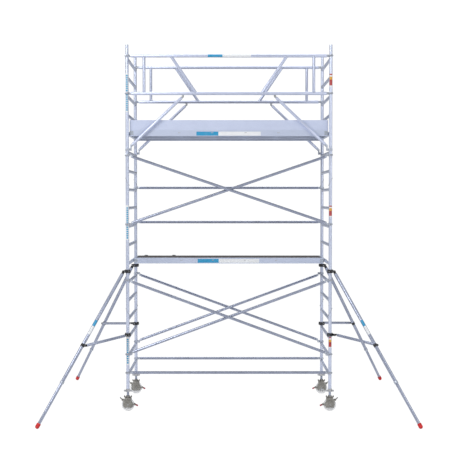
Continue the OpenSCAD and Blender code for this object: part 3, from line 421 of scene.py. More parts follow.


# ---- Braces ----
# Plain aluminium tubes: pairs of diagonals that cross, and horizontals. Each end is riveted to the
# shank of its claw, and the tube is coloured darker than the frames, with stronger contrast.

BRACE_R = 0.021
BRACE_DARK, BRACE_LIGHT = (0.24, 0.27, 0.36), (0.50, 0.54, 0.67)
CLAW_LIFT = 0.04
BRACE_START = 0.0658
CROSS_OFFSET = 0.022
RIVET_IN = 0.022
RIVET = [(0.0, 0.0014), (0.0022, 0.0012), (0.0036, 0.0006), (0.0040, -0.0004), (0.0, -0.0004)]
CROSSES = [("diagonal_braces_front_base", -1, rung_z(1) + CLAW_LIFT, rung_z(5) + CLAW_LIFT),
           ("diagonal_braces_rear_base", 1, rung_z(1) + CLAW_LIFT, rung_z(5) + CLAW_LIFT),
           ("diagonal_braces_front_upper", -1, rung_z(8) + CLAW_LIFT, rung_z(12) - CLAW_LIFT)]
LEVELS = [(-1, rung_z(0) + CLAW_LIFT), (1, rung_z(0) + CLAW_LIFT),
          (1, rung_z(8) + CLAW_LIFT), (1, rung_z(10) + CLAW_LIFT)]

BRACE_METAL = drawn_aluminium("brace_tube", BAY, BRACE_DARK, BRACE_LIGHT, (0.22, 0.42),
                              metallic=0.8)
paint_node("horizontal_braces", [BRACE_METAL])

rivets = bmesh.new()


def rivet_pair(shape, place, along, radius):
    """A rivet's two heads, on opposite sides of a tube that lies in a plane along the bay."""
    for turn in (-1, 1):
        turned(shape, RIVET, place + turn * radius * ACROSS, turn * ACROSS, 12)


for name, row, z_low, z_high in CROSSES:
    slope = math.atan2(z_high - z_low, 2 * CORNER_X)
    start = BRACE_START + 0.012 + BRACE_R * math.sin(slope) + RIVET_IN * math.cos(slope)
    rises = [Vector((math.cos(slope), 0, way * math.sin(slope))) for way in (1, -1)]
    metals = [drawn_aluminium(f"{name}_{i}", rise, BRACE_DARK, BRACE_LIGHT, (0.22, 0.42),
                              metallic=0.8)
              for i, rise in enumerate(rises)]
    # the brace that starts low at the left has its axis moved towards the tower's front or back
    paint_node(name, metals, lambda face, row=row: int((face.center.y - row * CORNER_Y) * row > 0))
    for low_side in (-1, 1):
        y = row * (CORNER_Y + low_side * CROSS_OFFSET)
        for side, z, way in ((low_side, z_low, 1), (-low_side, z_high, -1)):
            end = Vector((side * (CORNER_X - start), y, z + way * start * math.tan(slope)))
            rivet_pair(rivets, end, BAY, BRACE_R)
for row, z in LEVELS:
    for side in (-1, 1):
        rivet_pair(rivets, Vector((side * (CORNER_X - BRACE_START - RIVET_IN), row * CORNER_Y, z)),
                   BAY, BRACE_R)
finish_piece("brace_rivets", rivets, [ZINC_STEEL], "tower", crease=60)


# ---- Brace claws ----
# Cast aluminium jaws that drop over a standard just above or below a rung. A pressed steel latch,
# pinned to the outer jaw, closes the mouth.

CLAW_R = 0.0377
LATCH_PIN = [(0.0, 0.0034), (0.0040, 0.0032), (0.0062, 0.0018), (0.0064, -0.0004), (0.0, -0.0004)]
RAIL_LEVELS = [rung_z(15) + CLAW_LIFT, rung_z(17) + CLAW_LIFT]


def islands(shape):
    """The separate solids of a bmesh, each as its faces and its size along X, Y and Z."""
    left, found = set(shape.verts), []
    while left:
        group, edge = set(), [left.pop()]
        while edge:
            vert = edge.pop()
            group.add(vert)
            for link in vert.link_edges:
                other = link.other_vert(vert)
                if other in left:
                    left.discard(other)
                    edge.append(other)
        spans = [[v.co[i] for v in group] for i in range(3)]
        found.append(({f for v in group for f in v.link_faces},
                      Vector([max(s) - min(s) for s in spans]),
                      Vector([(max(s) + min(s)) / 2 for s in spans])))
    return found


def softened(nodes, width=0.0012, choose=None, drop=None, angle=40, segments=2):
    """A copy of CAD nodes with whole flat faces and rounded edges. choose(size, centre) gives the
    material of each solid, and drop(size, centre) says which to leave out."""
    shape = bmesh.new()
    for node in nodes:
        shape.from_mesh(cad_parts[node].data)
    bmesh.ops.remove_doubles(shape, verts=shape.verts, dist=1e-5)
    for faces, size, centre in islands(shape):
        if drop and drop(size, centre):
            bmesh.ops.delete(shape, geom=list(faces), context="FACES")
            continue
        for face in faces:
            face.material_index = choose(size, centre) if choose else 0
    bmesh.ops.dissolve_limit(shape, angle_limit=math.radians(0.5), verts=shape.verts,
                             edges=shape.edges, delimit={"MATERIAL"})
    crisp = [e for e in shape.edges if len(e.link_faces) == 2
             and e.calc_face_angle(0) > math.radians(angle)]
    bmesh.ops.bevel(shape, geom=crisp, offset=width, offset_type="OFFSET", segments=segments,
                    profile=0.5, affect="EDGES", material=-1, clamp_overlap=True)
    return shape


CAST_ALUMINIUM = cast_metal("cast_aluminium", (0.40, 0.44, 0.52), (0.62, 0.66, 0.74))
LATCH_STEEL = cast_metal("latch_steel", (0.34, 0.36, 0.41), (0.52, 0.54, 0.60), (0.3, 0.5), 500.0,
                         0.15, 0.9)


def latch_or_cast(size, centre):
    """1 for a latch, which is a thin strip, and 0 for a jaw with its shank."""
    return int(size.z < 0.02 and size.x < 0.085)


claws = softened(["brace_claws"], 0.0015, latch_or_cast)
claw_places = [(row, z) for _, row, z_low, z_high in CROSSES for z in (z_low, z_high)] + LEVELS
claw_places += [(row, z) for row in (-1, 1) for z in RAIL_LEVELS]
for row, z in claw_places:
    for side in (-1, 1):
        pin = Vector((side * (CORNER_X - 0.02), row * (CORNER_Y + CLAW_R + 0.0051), z))
        turned(claws, LATCH_PIN, pin, row * ACROSS, 14)
finish_piece("brace_claws_cast", claws, [CAST_ALUMINIUM, LATCH_STEEL], "tower",
             ["brace_claws"])


# ---- Platform frames ----
# Each platform's frame is welded from extruded aluminium box beams: two long sides, two ends and
# four cross members, whose ends are pinned through the sides by big flat rivets.

BEAM_W = 0.026
BEAM_H = 0.09
BEAM_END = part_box("upper_plain_deck_frame")[1].x
DECKS = {"lower_deck_frame": 1, "upper_hatch_deck_frame": 1, "upper_plain_deck_frame": -1}
CROSS_XS = (-0.745, -0.25, 0.25, 0.745)
FLAT_RIVET = [(0.0, 0.0011), (0.0050, 0.0009), (0.0068, 0.0002), (0.0070, -0.0004), (0.0, -0.0004)]
BRACKET = (0.055, 0.0012, 0.06)

BEAM_METAL = drawn_aluminium("deck_beam", BAY, (0.53, 0.60, 0.76), (0.67, 0.73, 0.89), (0.32, 0.5),
                             0.3, 0.3)
END_METAL = drawn_aluminium("deck_end_beam", ACROSS, (0.42, 0.47, 0.55), (0.60, 0.66, 0.74))
deck_rivets, brackets = bmesh.new(), bmesh.new()
for node, row in DECKS.items():
    low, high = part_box(node)
    top = low.z + BEAM_H

    def side_or_end(face, low=low, high=high, top=top):
        """0 on a long side beam, 1 on an end beam or cross member, 2 on a hinge."""
        if face.center.z > top + 0.0005 or (low.y + 0.56 < face.center.y < high.y - BEAM_W
                                            and face.center.z > top - 0.0112):
            return 2
        return int(low.y + BEAM_W < face.center.y < high.y - BEAM_W and abs(face.normal.y) < 0.5)

    paint_node(node, [BEAM_METAL, END_METAL, ZINC_STEEL], side_or_end)
    for y, way in ((low.y, -1), (high.y, 1)):
        for x in CROSS_XS:
            for dx in (-0.009, 0.009):
                turned(deck_rivets, FLAT_RIVET, Vector((x + dx, y, top - 0.04)), way * ACROSS, 14)
        for side in (-1, 1):
            x = side * (BEAM_END - BRACKET[0] / 2)
            block(brackets, BRACKET,
                  Matrix.Translation((x, y + way * (BRACKET[1] / 2 + 1e-4), top - 0.045)))
            for dx, dz in ((-0.018, -0.018), (0.018, -0.018), (-0.018, 0.018), (0.018, 0.018)):
                spot = Vector((x + dx, y + way * (BRACKET[1] + 1e-4), top - 0.045 + dz))
                turned(deck_rivets, FLAT_RIVET, spot, way * ACROSS, 14)
finish_piece("deck_rivets", deck_rivets, [ZINC_STEEL], "tower", crease=60)
finish_piece("deck_corner_brackets", brackets, [END_METAL], "tower")


# ---- Deck boards ----
# Birch plywood faced with dark brown resin film: a fine mesh is pressed into the top so that it
# grips, the underside is smooth, and the cut edges are sealed. Screws hold it to the cross members.

SCREW = [(0.0, 0.0004), (0.0016, 0.0004), (0.0020, 0.0008), (0.0052, 0.0004), (0.0056, -0.0003),
         (0.0, -0.0003)]


def film_wear_group():
    """Pressed mesh, scuffs and drag marks of a resin film."""
    nodes, given, out = shader_group(
        "film_wear", [("Mesh", "Float", 1.0)], ["Shade", "Dull", "Height"])
    place = nodes.add("ShaderNodeTexCoord").outputs["Object"]
    waves = [nodes.add("ShaderNodeTexWave", {"Vector": place, "Scale": 55.0, "Distortion": 0.0},
                       bands_direction=way).outputs[1] for way in ("X", "Y")]
    mesh = nodes.add("ShaderNodeMath", {0: waves[0], 1: waves[1]}, operation="MAXIMUM")
    press = nodes.add("ShaderNodeMath", {0: mesh.outputs[0], 1: given.outputs["Mesh"]},
                      operation="MULTIPLY")
    stretched = nodes.add("ShaderNodeMapping", {"Vector": place, "Scale": (3.0, 16.0, 16.0)})
    drag = nodes.add("ShaderNodeTexNoise", {"Vector": stretched.outputs[0], "Scale": 3.0, "Detail": 6.0,
                                            "Roughness": 0.7})
    cloud = nodes.add("ShaderNodeTexNoise", {"Vector": place, "Scale": 4.0, "Detail": 5.0})
    worn = nodes.add("ShaderNodeMapRange", {0: drag.outputs[0], 1: 0.52, 2: 0.72})
    dust = nodes.add("ShaderNodeMapRange", {0: cloud.outputs[0], 1: 0.45, 2: 0.75})
    shade = nodes.add("ShaderNodeMath", {0: dust.outputs[0], 1: 0.45, 2: worn.outputs[0]},
                      operation="MULTIPLY_ADD")
    give(nodes, out, Shade=shade.outputs[0], Dull=dust.outputs[0], Height=press.outputs[0])
    return nodes.tree


FILM_WEAR = film_wear_group()


def resin_film(name, mesh, dark, light, rough):
    material, nodes = new_material(name)
    wear = grouped(nodes, FILM_WEAR, Mesh=mesh)
    colour = blend_colours(nodes, wear.outputs["Shade"], dark, light)
    gloss = nodes.add("ShaderNodeMapRange", {0: wear.outputs["Dull"], 3: rough[0], 4: rough[1]})
    close_material(nodes, colour, gloss.outputs[0], wear.outputs["Height"], 0.4, 0.0006)
    return material


def ply_edge():
    """Sealed plywood edge: thin layers that run level, under brown paint."""
    material, nodes = new_material("ply_edge")
    place = nodes.add("ShaderNodeTexCoord").outputs["Object"]
    layers = nodes.add("ShaderNodeTexWave", {"Vector": place, "Scale": 110.0, "Distortion": 0.6,
                                            "Detail": 2.0}, bands_direction="Z")
    grain = nodes.add("ShaderNodeTexNoise", {"Vector": place, "Scale": 60.0, "Detail": 5.0})
    mask = nodes.add("ShaderNodeMath", {0: layers.outputs[1], 1: grain.outputs[0]}, operation="MULTIPLY")
    colour = blend_colours(nodes, mask.outputs[0], (0.035, 0.020, 0.014), (0.12, 0.07, 0.04))
    close_material(nodes, colour, grain.outputs[0], layers.outputs[1], 0.3, 0.0004)
    return material


FILM_TOP = resin_film("film_top", 1.0, (0.028, 0.016, 0.012), (0.075, 0.052, 0.042), (0.45, 0.75))
FILM_UNDER = resin_film("film_underside", 0.05, (0.045, 0.050, 0.075), (0.085, 0.092, 0.125), (0.3, 0.5))
PLY_EDGE = ply_edge()


def film_side(normal):
    """0 for a board's top face, 1 for its underside and 2 for an edge."""
    return 0 if normal.z > 0.7 else 1 if normal.z < -0.7 else 2


paint_node("deck_boards", [FILM_TOP, FILM_UNDER, PLY_EDGE], lambda face: film_side(face.normal))

board_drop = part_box("upper_plain_deck_frame")[1].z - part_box("deck_boards")[1].z
screws = bmesh.new()
for node, row in DECKS.items():
    low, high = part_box(node)
    hatch_side = {"lower_deck_frame": -1, "upper_hatch_deck_frame": 1}.get(node, 0)
    for x in (*CROSS_XS, -BEAM_END + 0.045, BEAM_END - 0.045):
        if hatch_side * x > 0.7:
            continue
        for y in (low.y + 0.045, low.y + 0.215, high.y - 0.215, high.y - 0.045):
            turned(screws, SCREW, Vector((x, y, low.z + BEAM_H - board_drop)), UP, 16)
finish_piece("board_screws", screws, [ZINC_STEEL], "tower", crease=60)


# ---- Hatches ----
# A piece of the same board, with an aluminium rail along its free edge beside the hand slot, and
# two steel hinge leaves, each fixed by two screws.

for node in ("lower_hatch", "upper_hatch"):
    low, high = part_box(node)

    def rail_board_or_leaf(size, centre, low=low):
        """The material of one solid of a hatch, from its size."""
        if size.x < 0.05:
            return 4
        return 3 if centre.y < low.y + 0.02 else 0

    shape = softened([node], 0.0008, rail_board_or_leaf, angle=60)
    for face in shape.faces:
        if face.material_index == 0:
            face.material_index = film_side(face.normal)
    hinge_screws = bmesh.new()
    leaf_top = low.z + 0.0151
    for faces, size, centre in islands(shape):
        if size.x < 0.05:
            for y in (centre.y - 0.018, centre.y - 0.004):
                turned(hinge_screws, SCREW, Vector((centre.x, y, leaf_top)), UP, 16)
    finish_piece(node + "_board", shape, [FILM_TOP, FILM_UNDER, PLY_EDGE, BEAM_METAL, ZINC_STEEL],
                 node, [node])
    finish_piece(node + "_screws", hinge_screws, [ZINC_STEEL], node, crease=60)


# ---- Platform hooks ----
# Cast aluminium hooks, two at each end of a platform, that drop over a rung. Each is welded to the
# end beam by its flat back.

hooks = softened(["deck_hooks"], 0.0020)
finish_piece("deck_hooks_cast", hooks, [CAST_ALUMINIUM], "tower", ["deck_hooks"])


# ---- Toe boards ----
# Hollow aluminium planks on edge round the upper platforms, extruded with shallow ribs along both
# faces. A grey plastic cap closes each end.

RIB_PITCH = 0.0115
RIB_RISE = 0.0007
RIB_FLANK = 0.0015
CAP_T = 0.003

TOE_LONG, TOE_SHORT = [
    drawn_aluminium(name, along, (0.56, 0.62, 0.80), (0.68, 0.74, 0.92), (0.34, 0.52), 0.3, 0.2)
    for name, along in (("toe_board_long", BAY), ("toe_board_end", ACROSS))]


def moulded_plastic(name, dark, light, rough=(0.35, 0.6), grain=480.0, bump=0.15):
    return cast_metal(name, dark, light, rough, grain, bump, metallic=0.0)


CAP_PLASTIC = moulded_plastic("cap_plastic", (0.16, 0.17, 0.19), (0.30, 0.31, 0.34))


def ribbed_plank(shape, centre, size):
    """A plank along its longer level side, with ribs along both faces."""
    along = BAY if size.x > size.y else ACROSS
    across = along.cross(UP)
    length, thick, tall = max(size.x, size.y), min(size.x, size.y), size.z
    half, count = thick / 2 - RIB_RISE, round((tall - 0.012) / RIB_PITCH)
    face = [(-tall / 2, half)]
    for i in range(count):
        z = (i - count / 2) * RIB_PITCH
        face += [(z + RIB_FLANK, half), (z + 2 * RIB_FLANK, half + RIB_RISE),
                 (z + RIB_PITCH - 2 * RIB_FLANK, half + RIB_RISE), (z + RIB_PITCH - RIB_FLANK, half)]
    face += [(tall / 2, half)]
    outline = face + [(z, -y) for z, y in reversed(face)]
    start = centre - along * (length / 2 - CAP_T)
    verts = [shape.verts.new(start + across * y + UP * z) for z, y in outline]
    plank = bmesh.ops.extrude_face_region(shape, geom=[shape.faces.new(verts)])
    moved = [v for v in plank["geom"] if isinstance(v, bmesh.types.BMVert)]
    bmesh.ops.translate(shape, vec=along * (length - 2 * CAP_T), verts=moved)
    return along, length, thick, tall


for node, metal in (("toe_boards_long", TOE_LONG), ("toe_boards_end", TOE_SHORT)):
    planks, caps = bmesh.new(), bmesh.new()
    source = bmesh.new()
    source.from_mesh(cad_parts[node].data)
    bmesh.ops.remove_doubles(source, verts=source.verts, dist=1e-5)
    for faces, size, centre in islands(source):
        along, length, thick, tall = ribbed_plank(planks, centre, size)
        for end in (-1, 1):
            place = Matrix.Translation(centre + along * end * (length - CAP_T) / 2)
            box = (CAP_T - 2e-4, thick, tall) if along == BAY else (thick, CAP_T - 2e-4, tall)
            block(caps, box, place)
    source.free()
    bmesh.ops.recalc_face_normals(planks, faces=planks.faces)
    edges = list(caps.edges)
    bmesh.ops.bevel(caps, geom=edges, offset=0.0007, offset_type="OFFSET", segments=2, profile=0.5,
                    affect="EDGES", material=-1)
    finish_piece(node + "_ribbed", planks, [metal], "tower", [node], crease=25)
    finish_piece(node + "_caps", caps, [CAP_PLASTIC], "tower")


# ---- Guardrails ----
# One welded panel along each side: two rails, upright posts and slanted braces between them, a claw
# at each rail end, and a pair of steel lugs with a pin for each strut.

RAIL_R = 0.025
POST_R = 0.022
POST_X = 1.27
SLANT_LOW, SLANT_HIGH = 0.49, 0.87
RAIL_DARK, RAIL_LIGHT = (0.54, 0.59, 0.76), (0.70, 0.75, 0.91)

SLANT = (SLANT_HIGH - SLANT_LOW, RAIL_LEVELS[1] - RAIL_LEVELS[0])
slant_ways = [Vector((side * SLANT[0], 0, SLANT[1])).normalized() for side in (-1, 1)]
RAIL_METALS = [drawn_aluminium("guard_rail", BAY, RAIL_DARK, RAIL_LIGHT),
               drawn_aluminium("guard_post", UP, RAIL_DARK, RAIL_LIGHT),
               drawn_aluminium("guard_slant_left", slant_ways[0], RAIL_DARK, RAIL_LIGHT),
               drawn_aluminium("guard_slant_right", slant_ways[1], RAIL_DARK, RAIL_LIGHT),
               CAST_ALUMINIUM, LATCH_STEEL, ZINC_STEEL]


def guard_part(size, centre):
    """The material of one solid of a guardrail, from its size."""
    if size.x > 2:
        return 0
    if size.z > 0.4:
        return 1 if size.x < 0.1 else 2 + int(centre.x > 0)
    if abs(centre.x) > 1.2:
        return 5 if size.z < 0.02 and size.x < 0.085 else 4
    return 6


for row_name, row in ROWS.items():
    node = "guardrail_" + row_name
    finish_piece(node + "_panel", softened([node], 0.0012, guard_part), RAIL_METALS, "tower",
                 [node])
    beads = bmesh.new()
    for side in (-1, 1):
        for x_low, x_high in ((POST_X, POST_X), (SLANT_LOW, SLANT_HIGH)):
            low_end = Vector((side * x_low, row * CORNER_Y, RAIL_LEVELS[0]))
            high_end = Vector((side * x_high, row * CORNER_Y, RAIL_LEVELS[1]))
            way = (high_end - low_end).normalized()
            weld_bead(beads, low_end, way, POST_R, BAY, RAIL_R)
            weld_bead(beads, high_end, -way, POST_R, BAY, RAIL_R)
    finish_piece(node + "_welds", beads, [WELD_METAL], "tower", crease=60)


# ---- Struts ----
# Sloping stays of aluminium tube between the guardrail and the standards at platform height, with
# a cast eye on the rail's pin and a cast hook behind the standard.

for row_name, row in ROWS.items():
    for side_name, side in SIDES.items():
        node = f"strut_{row_name}_{side_name}"
        low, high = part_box(node)
        way = Vector((-side * (high.x - low.x - 0.1), 0, high.z - low.z - 0.06)).normalized()
        metal = drawn_aluminium(node + "_tube", way, RAIL_DARK, RAIL_LIGHT)
        body = "tower" if row < 0 else node
        shape = softened([node], 0.0014, lambda size, centre: int(size.z < 0.4 or size.x < 0.4))
        finish_piece(node + "_stay", shape, [metal, CAST_ALUMINIUM], body, [node])


# ---- Castor wing nuts and threaded legs ----
# A cast nut with two wings carries each standard on a threaded steel tube, so that the tower can be
# levelled. Under it a cast crown with two upright ears holds the castor's kingpin.

THREAD_CORE = 0.0174
THREAD_CREST = 0.01895
THREAD_PITCH = 0.008
LEG_STEPS = 32
LEG_TUBE = 0.515

LEG_STEEL = cast_metal("leg_steel", (0.36, 0.40, 0.50), (0.58, 0.63, 0.74), (0.26, 0.46), 700.0,
                       0.1, 0.9)
CROWN_CAST = cast_metal("crown_casting", (0.17, 0.165, 0.15), (0.33, 0.32, 0.30))
NUT_CAST = cast_metal("nut_casting", (0.42, 0.43, 0.45), (0.68, 0.69, 0.71))
finish_piece("castor_wing_nuts_cast", softened(["castor_wing_nuts"], 0.0025), [NUT_CAST], "tower",
             ["castor_wing_nuts"])


def threaded_tube(shape, foot, length):
    """A round core with a ridge wound up it from end to end."""
    core = [(0.0, 0.0), (THREAD_CORE, 0.0), (THREAD_CORE, length), (0.0, length)]
    turned(shape, core, foot, UP, LEG_STEPS)
    turns = int(length / THREAD_PITCH) - 1
    points = [(-0.0005, -0.0030), (0.0, -0.0012), (0.0, 0.0012), (-0.0005, 0.0030)]
    start = foot + UP * THREAD_PITCH * 0.6
    radii = (THREAD_CORE - 0.0004, THREAD_CREST, THREAD_CREST, THREAD_CORE - 0.0004)
    verts = [shape.verts.new(start + BAY * r + UP * h) for r, (_, h) in zip(radii, points)]
    ridge = shape.faces.new(verts)
    steps = turns * LEG_STEPS
    before = set(shape.faces)
    bmesh.ops.spin(shape, geom=[ridge, *ridge.edges, *ridge.verts], cent=foot, axis=UP,
                   angle=math.tau * turns, steps=steps, dvec=UP * THREAD_PITCH * turns / steps)
    made = [f for f in shape.faces if f not in before]
    bmesh.ops.recalc_face_normals(shape, faces=made + [f for f in [ridge] if f.is_valid])


for corner, side, row in CORNERS:
    node = "castor_leg_" + corner
    shape = softened([node], 0.0020, drop=lambda size, centre: size.z > 0.45)
    finish_piece(node + "_crown", shape, [CROWN_CAST], node, [node])
    leg = bmesh.new()
    low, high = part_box(node)
    tube_foot = Vector((side * CORNER_X, row * CORNER_Y, high.z - LEG_TUBE + 0.0001))
    threaded_tube(leg, tube_foot, LEG_TUBE - 0.0002)
    finish_piece(node + "_thread", leg, [LEG_STEEL], node)


# ---- Castor forks, wheels and brakes ----
# A pressed fork with wide side plates carries a moulded nylon wheel on a bolt. The brake lever's
# crimson foot pedal points under the tower, and its release tab stands up on the outer side.

WHEEL_Z = 0.095
WHEEL_R = 0.095
HALF_W = 0.021
HUB_R = 0.022
SPOKES = 10
PAD_RIBS = 5

FORK_STEEL = cast_metal("fork_casting", (0.27, 0.26, 0.235), (0.42, 0.41, 0.375), (0.35, 0.6))
WHEEL_NYLON = moulded_plastic("wheel_nylon", (0.80, 0.81, 0.82), (0.95, 0.95, 0.95))
TREAD_NYLON = moulded_plastic("tread_nylon", (0.68, 0.68, 0.69), (0.90, 0.90, 0.90), (0.5, 0.75))
PEDAL_PAD = moulded_plastic("pedal_pad", (0.26, 0.006, 0.022), (0.46, 0.014, 0.045))

WHEEL_OUTLINE = [
    (0.0065, -0.0255), (HUB_R - 0.002, -0.0255), (HUB_R, -0.0240), (HUB_R + 0.003, -0.008), (0.066, -0.008),
    (0.070, -0.0195), (0.072, -HALF_W), (0.085, -HALF_W), (0.0915, -0.019), (0.094, -0.014), (WHEEL_R, -0.008),
    (WHEEL_R, 0.008), (0.094, 0.014), (0.0915, 0.019), (0.085, HALF_W), (0.072, HALF_W), (0.070, 0.0195),
    (0.066, 0.008), (HUB_R + 0.003, 0.008), (HUB_R, 0.0240), (HUB_R - 0.002, 0.0255), (0.0065, 0.0255)]

for corner, side, row in CORNERS:
    axle = Vector((side * CORNER_X, row * CORNER_Y, WHEEL_Z))
    fork = softened(["castor_fork_" + corner], 0.0014)
    for face in fork.faces:
        if (face.calc_center_median() - axle).xz.length < 0.014:
            face.material_index = 1
    finish_piece(f"castor_fork_{corner}_plates", fork, [FORK_STEEL, ZINC_STEEL], "castor_fork_" + corner,
                 ["castor_fork_" + corner])
    wheel = bmesh.new()
    turned(wheel, WHEEL_OUTLINE, axle, ACROSS, 72)
    for face in wheel.faces:
        out = face.calc_center_median() - axle
        face.material_index = int(out.xz.length > 0.090)
    for i in range(SPOKES):
        spin = Matrix.Rotation(math.tau * i / SPOKES, 4, "Y")
        for way in (-1, 1):
            block(wheel, (0.044, 0.007, 0.005),
                  Matrix.Translation(axle) @ spin @ Matrix.Translation((0.0455, way * 0.0115, 0)))
    finish_piece(f"castor_wheel_{corner}_moulded", wheel, [WHEEL_NYLON, TREAD_NYLON], "castor_wheel_" + corner,
                 ["castor_wheel_" + corner])
    node = "brake_pedal_" + corner
    pedal = softened([node], 0.0012, lambda size, centre: int(size.y < 0.06 and centre.z < 0.11))
    pad = [f for f in pedal.faces if f.material_index == 1]
    centre = sum((f.calc_center_median() for f in pad), Vector()) / max(len(pad), 1)
    tilt = Matrix.Rotation(-side * math.atan2(20, 46), 4, "Y")
    ribs = []
    for i in range(PAD_RIBS):
        place = Matrix.Translation(centre) @ tilt @ Matrix.Translation(((i - 2) * 0.0062, 0, 0.0070))
        ribs += block(pedal, (0.0024, 0.038, 0.0016), place)
    for face in {f for v in ribs for f in v.link_faces}:
        face.material_index = 1
    finish_piece(node + "_lever", pedal, [FORK_STEEL, PEDAL_PAD], node, [node])


# ---- Outrigger clamps ----
# Black powder-coated split clamps, two to each standard, bolted at both ears with plated nuts. The
# coat is chipped on its edges, where bare metal shows.

HEX_NUT = [(0.0, 0.0075), (0.0078, 0.0075), (0.0088, 0.0068), (0.0088, 0.0), (0.0, 0.0)]
OUT_ARM = 0.075
CLAMP_ZS = (2.112, 1.154)


def chipped_coat(name, coat, worn, bare):
    """Powder coat with fine pebble, dust, and chips down to the metal."""
    material, nodes = new_material(name)
    skin = grouped(nodes, CAST_SKIN, Grain=900.0)
    place = nodes.add("ShaderNodeTexCoord").outputs["Object"]
    chips = nodes.add("ShaderNodeTexNoise", {"Vector": place, "Scale": 75.0, "Detail": 6.0,
                                            "Roughness": 0.75})
    chip = nodes.add("ShaderNodeMapRange", {0: chips.outputs[0], 1: 0.66, 2: 0.68})
    tone = blend_colours(nodes, skin.outputs["Shade"], coat, worn)
    colour = blend_colours(nodes, chip.outputs[0], tone, bare)
    gloss = nodes.add("ShaderNodeMapRange", {0: skin.outputs["Dull"], 3: 0.35, 4: 0.6})
    close_material(nodes, colour, gloss.outputs[0], skin.outputs["Height"], 0.25, 0.0003)
    return material


BLACK_COAT = chipped_coat("black_coat", (0.012, 0.012, 0.014), (0.045, 0.045, 0.05), (0.32, 0.33, 0.35))


def outrigger_frame(side, row):
    """A matrix on a standard's axis, whose X points outwards at 45 degrees."""
    turn = Matrix.Rotation(math.atan2(row, side), 4, "Z")
    return Matrix.Translation((side * CORNER_X, row * CORNER_Y, 0)) @ turn


def pin_or_casting(size, centre):
    """1 for a bolt or pin, which lies level and is thin, and 0 for anything else."""
    return int(size.z < 0.026)


for corner, side, row in CORNERS:
    node = "outrigger_clamps_" + corner
    finish_piece(node + "_coated", softened([node], 0.0016, pin_or_casting), [BLACK_COAT, ZINC_STEEL], node,
                 [node])
    place = outrigger_frame(side, row)
    turn = place.to_3x3()
    nuts = bmesh.new()
    for z in CLAMP_ZS:
        for t in (-1, 1):
            for s in (-1, 1):
                spot = place @ Vector((s * 0.0125, t * 0.046, z))
                turned(nuts, HEX_NUT, spot, turn @ Vector((s, 0, 0)), 6)
    finish_piece(node + "_nuts", nuts, [ZINC_STEEL], node, crease=25)


# ---- Outriggers ----
# Telescopic stabiliser legs: an outer aluminium tube on the upper clamp, an inner tube that slides
# in it down to a red rubber foot, and a stay from the lower clamp. Black collars grip the tubes.

LEG_SLOPE = math.radians(36.6)
LEG_TOP_Z = CLAMP_ZS[0]
ARM_JOINT = Vector((0.840, 0, 1.082))
FOOT_END = 2.5935
FOOT_RIBS = 3

LEG_WAY = Vector((math.sin(LEG_SLOPE), 0, -math.cos(LEG_SLOPE)))
RED_RUBBER = moulded_plastic("red_rubber", (0.42, 0.010, 0.012), (0.78, 0.030, 0.030), (0.45, 0.7))
BLACK_CAST = chipped_coat("black_collar", (0.012, 0.012, 0.014), (0.05, 0.05, 0.055), (0.30, 0.31, 0.33))

FOOT_OUTLINE = [(0.0, 0.030)] + [(0.030 * math.sin(a), 0.030 * math.cos(a)) for a in
                                (math.radians(d) for d in range(15, 91, 15))]
for i in range(FOOT_RIBS):
    h = -0.008 - i * 0.011
    FOOT_OUTLINE += [(0.030, h), (0.0284, h - 0.0015), (0.0284, h - 0.0035), (0.030, h - 0.005)]
FOOT_OUTLINE += [(0.030, -0.043), (0.0285, -0.047), (0.0224, -0.047), (0.0224, -0.0405), (0.0, -0.0405)]
BUTTON = [(0.0, 0.0060), (0.0030, 0.0056), (0.0046, 0.0040), (0.0050, -0.0010), (0.0, -0.0010)]

for corner, side, row in CORNERS:
    place = outrigger_frame(side, row)
    turn = place.to_3x3()
    way = turn @ LEG_WAY
    pivot = place @ Vector((OUT_ARM, 0, LEG_TOP_Z))
    tube_metal = drawn_aluminium(f"outrigger_tube_{corner}", way, BRACE_DARK, BRACE_LIGHT, (0.24, 0.44))

    def leg_part(size, centre):
        """0 tube, 1 black casting, 2 bolt, 3 the locking collar at the outer tube's foot."""
        if size.z > 0.8:
            return 0
        return 3 if centre.z < 0.8 else 2 if size.z < 0.030 and max(size.x, size.y) < 0.08 else 1

    node = "outrigger_leg_" + corner
    finish_piece(node + "_tube", softened([node], 0.0014, leg_part), [tube_metal, BLACK_CAST, ZINC_STEEL, CAST_ALUMINIUM],
                 node, [node])
    button = bmesh.new()
    up_side = turn @ Vector((math.cos(LEG_SLOPE), 0, math.sin(LEG_SLOPE)))
    turned(button, BUTTON, pivot + way * 1.80 + up_side * 0.025, up_side, 16)
    finish_piece(node + "_button", button, [ZINC_STEEL], node, crease=60)

    node = "outrigger_foot_" + corner
    tube = softened([node], 0.0010, drop=lambda size, centre: size.z < 0.3)
    finish_piece(node + "_tube", tube, [tube_metal], node, [node])
    foot = bmesh.new()
    turned(foot, FOOT_OUTLINE, pivot + way * FOOT_END, way, 40)
    finish_piece(node + "_rubber", foot, [RED_RUBBER], node, crease=45)

    node = "outrigger_arm_" + corner
    arm_way = turn @ (ARM_JOINT - Vector((OUT_ARM, 0, CLAMP_ZS[1]))).normalized()
    arm_metal = drawn_aluminium(f"outrigger_arm_{corner}", arm_way, BRACE_DARK, BRACE_LIGHT, (0.24, 0.44))
    finish_piece(node + "_stay", softened([node], 0.0014, lambda size, centre: int(max(size.x, size.y) < 0.35)),
                 [arm_metal, BLACK_CAST], node, [node])


# ---- Label bands ----
# Plain vinyl bands, in the maker's colours but with no lettering: on the front standards, the two
# front platform beams, the front top rail and the front outrigger legs.

BLUE, WHITE_VINYL = (0.004, 0.31, 0.58), (0.86, 0.88, 0.90)
RED_VINYL, ORANGE = (0.48, 0.03, 0.03), (0.80, 0.40, 0.02)
FILM_T = 0.0002
FILM_GAP = 5e-5
LEFT_BANDS = ((0.70, 1.13), (2.585, 3.11), (4.50, 5.08))
RIGHT_BANDS = ((0.956, 1.12), (2.93, 3.10), (4.877, 5.07))


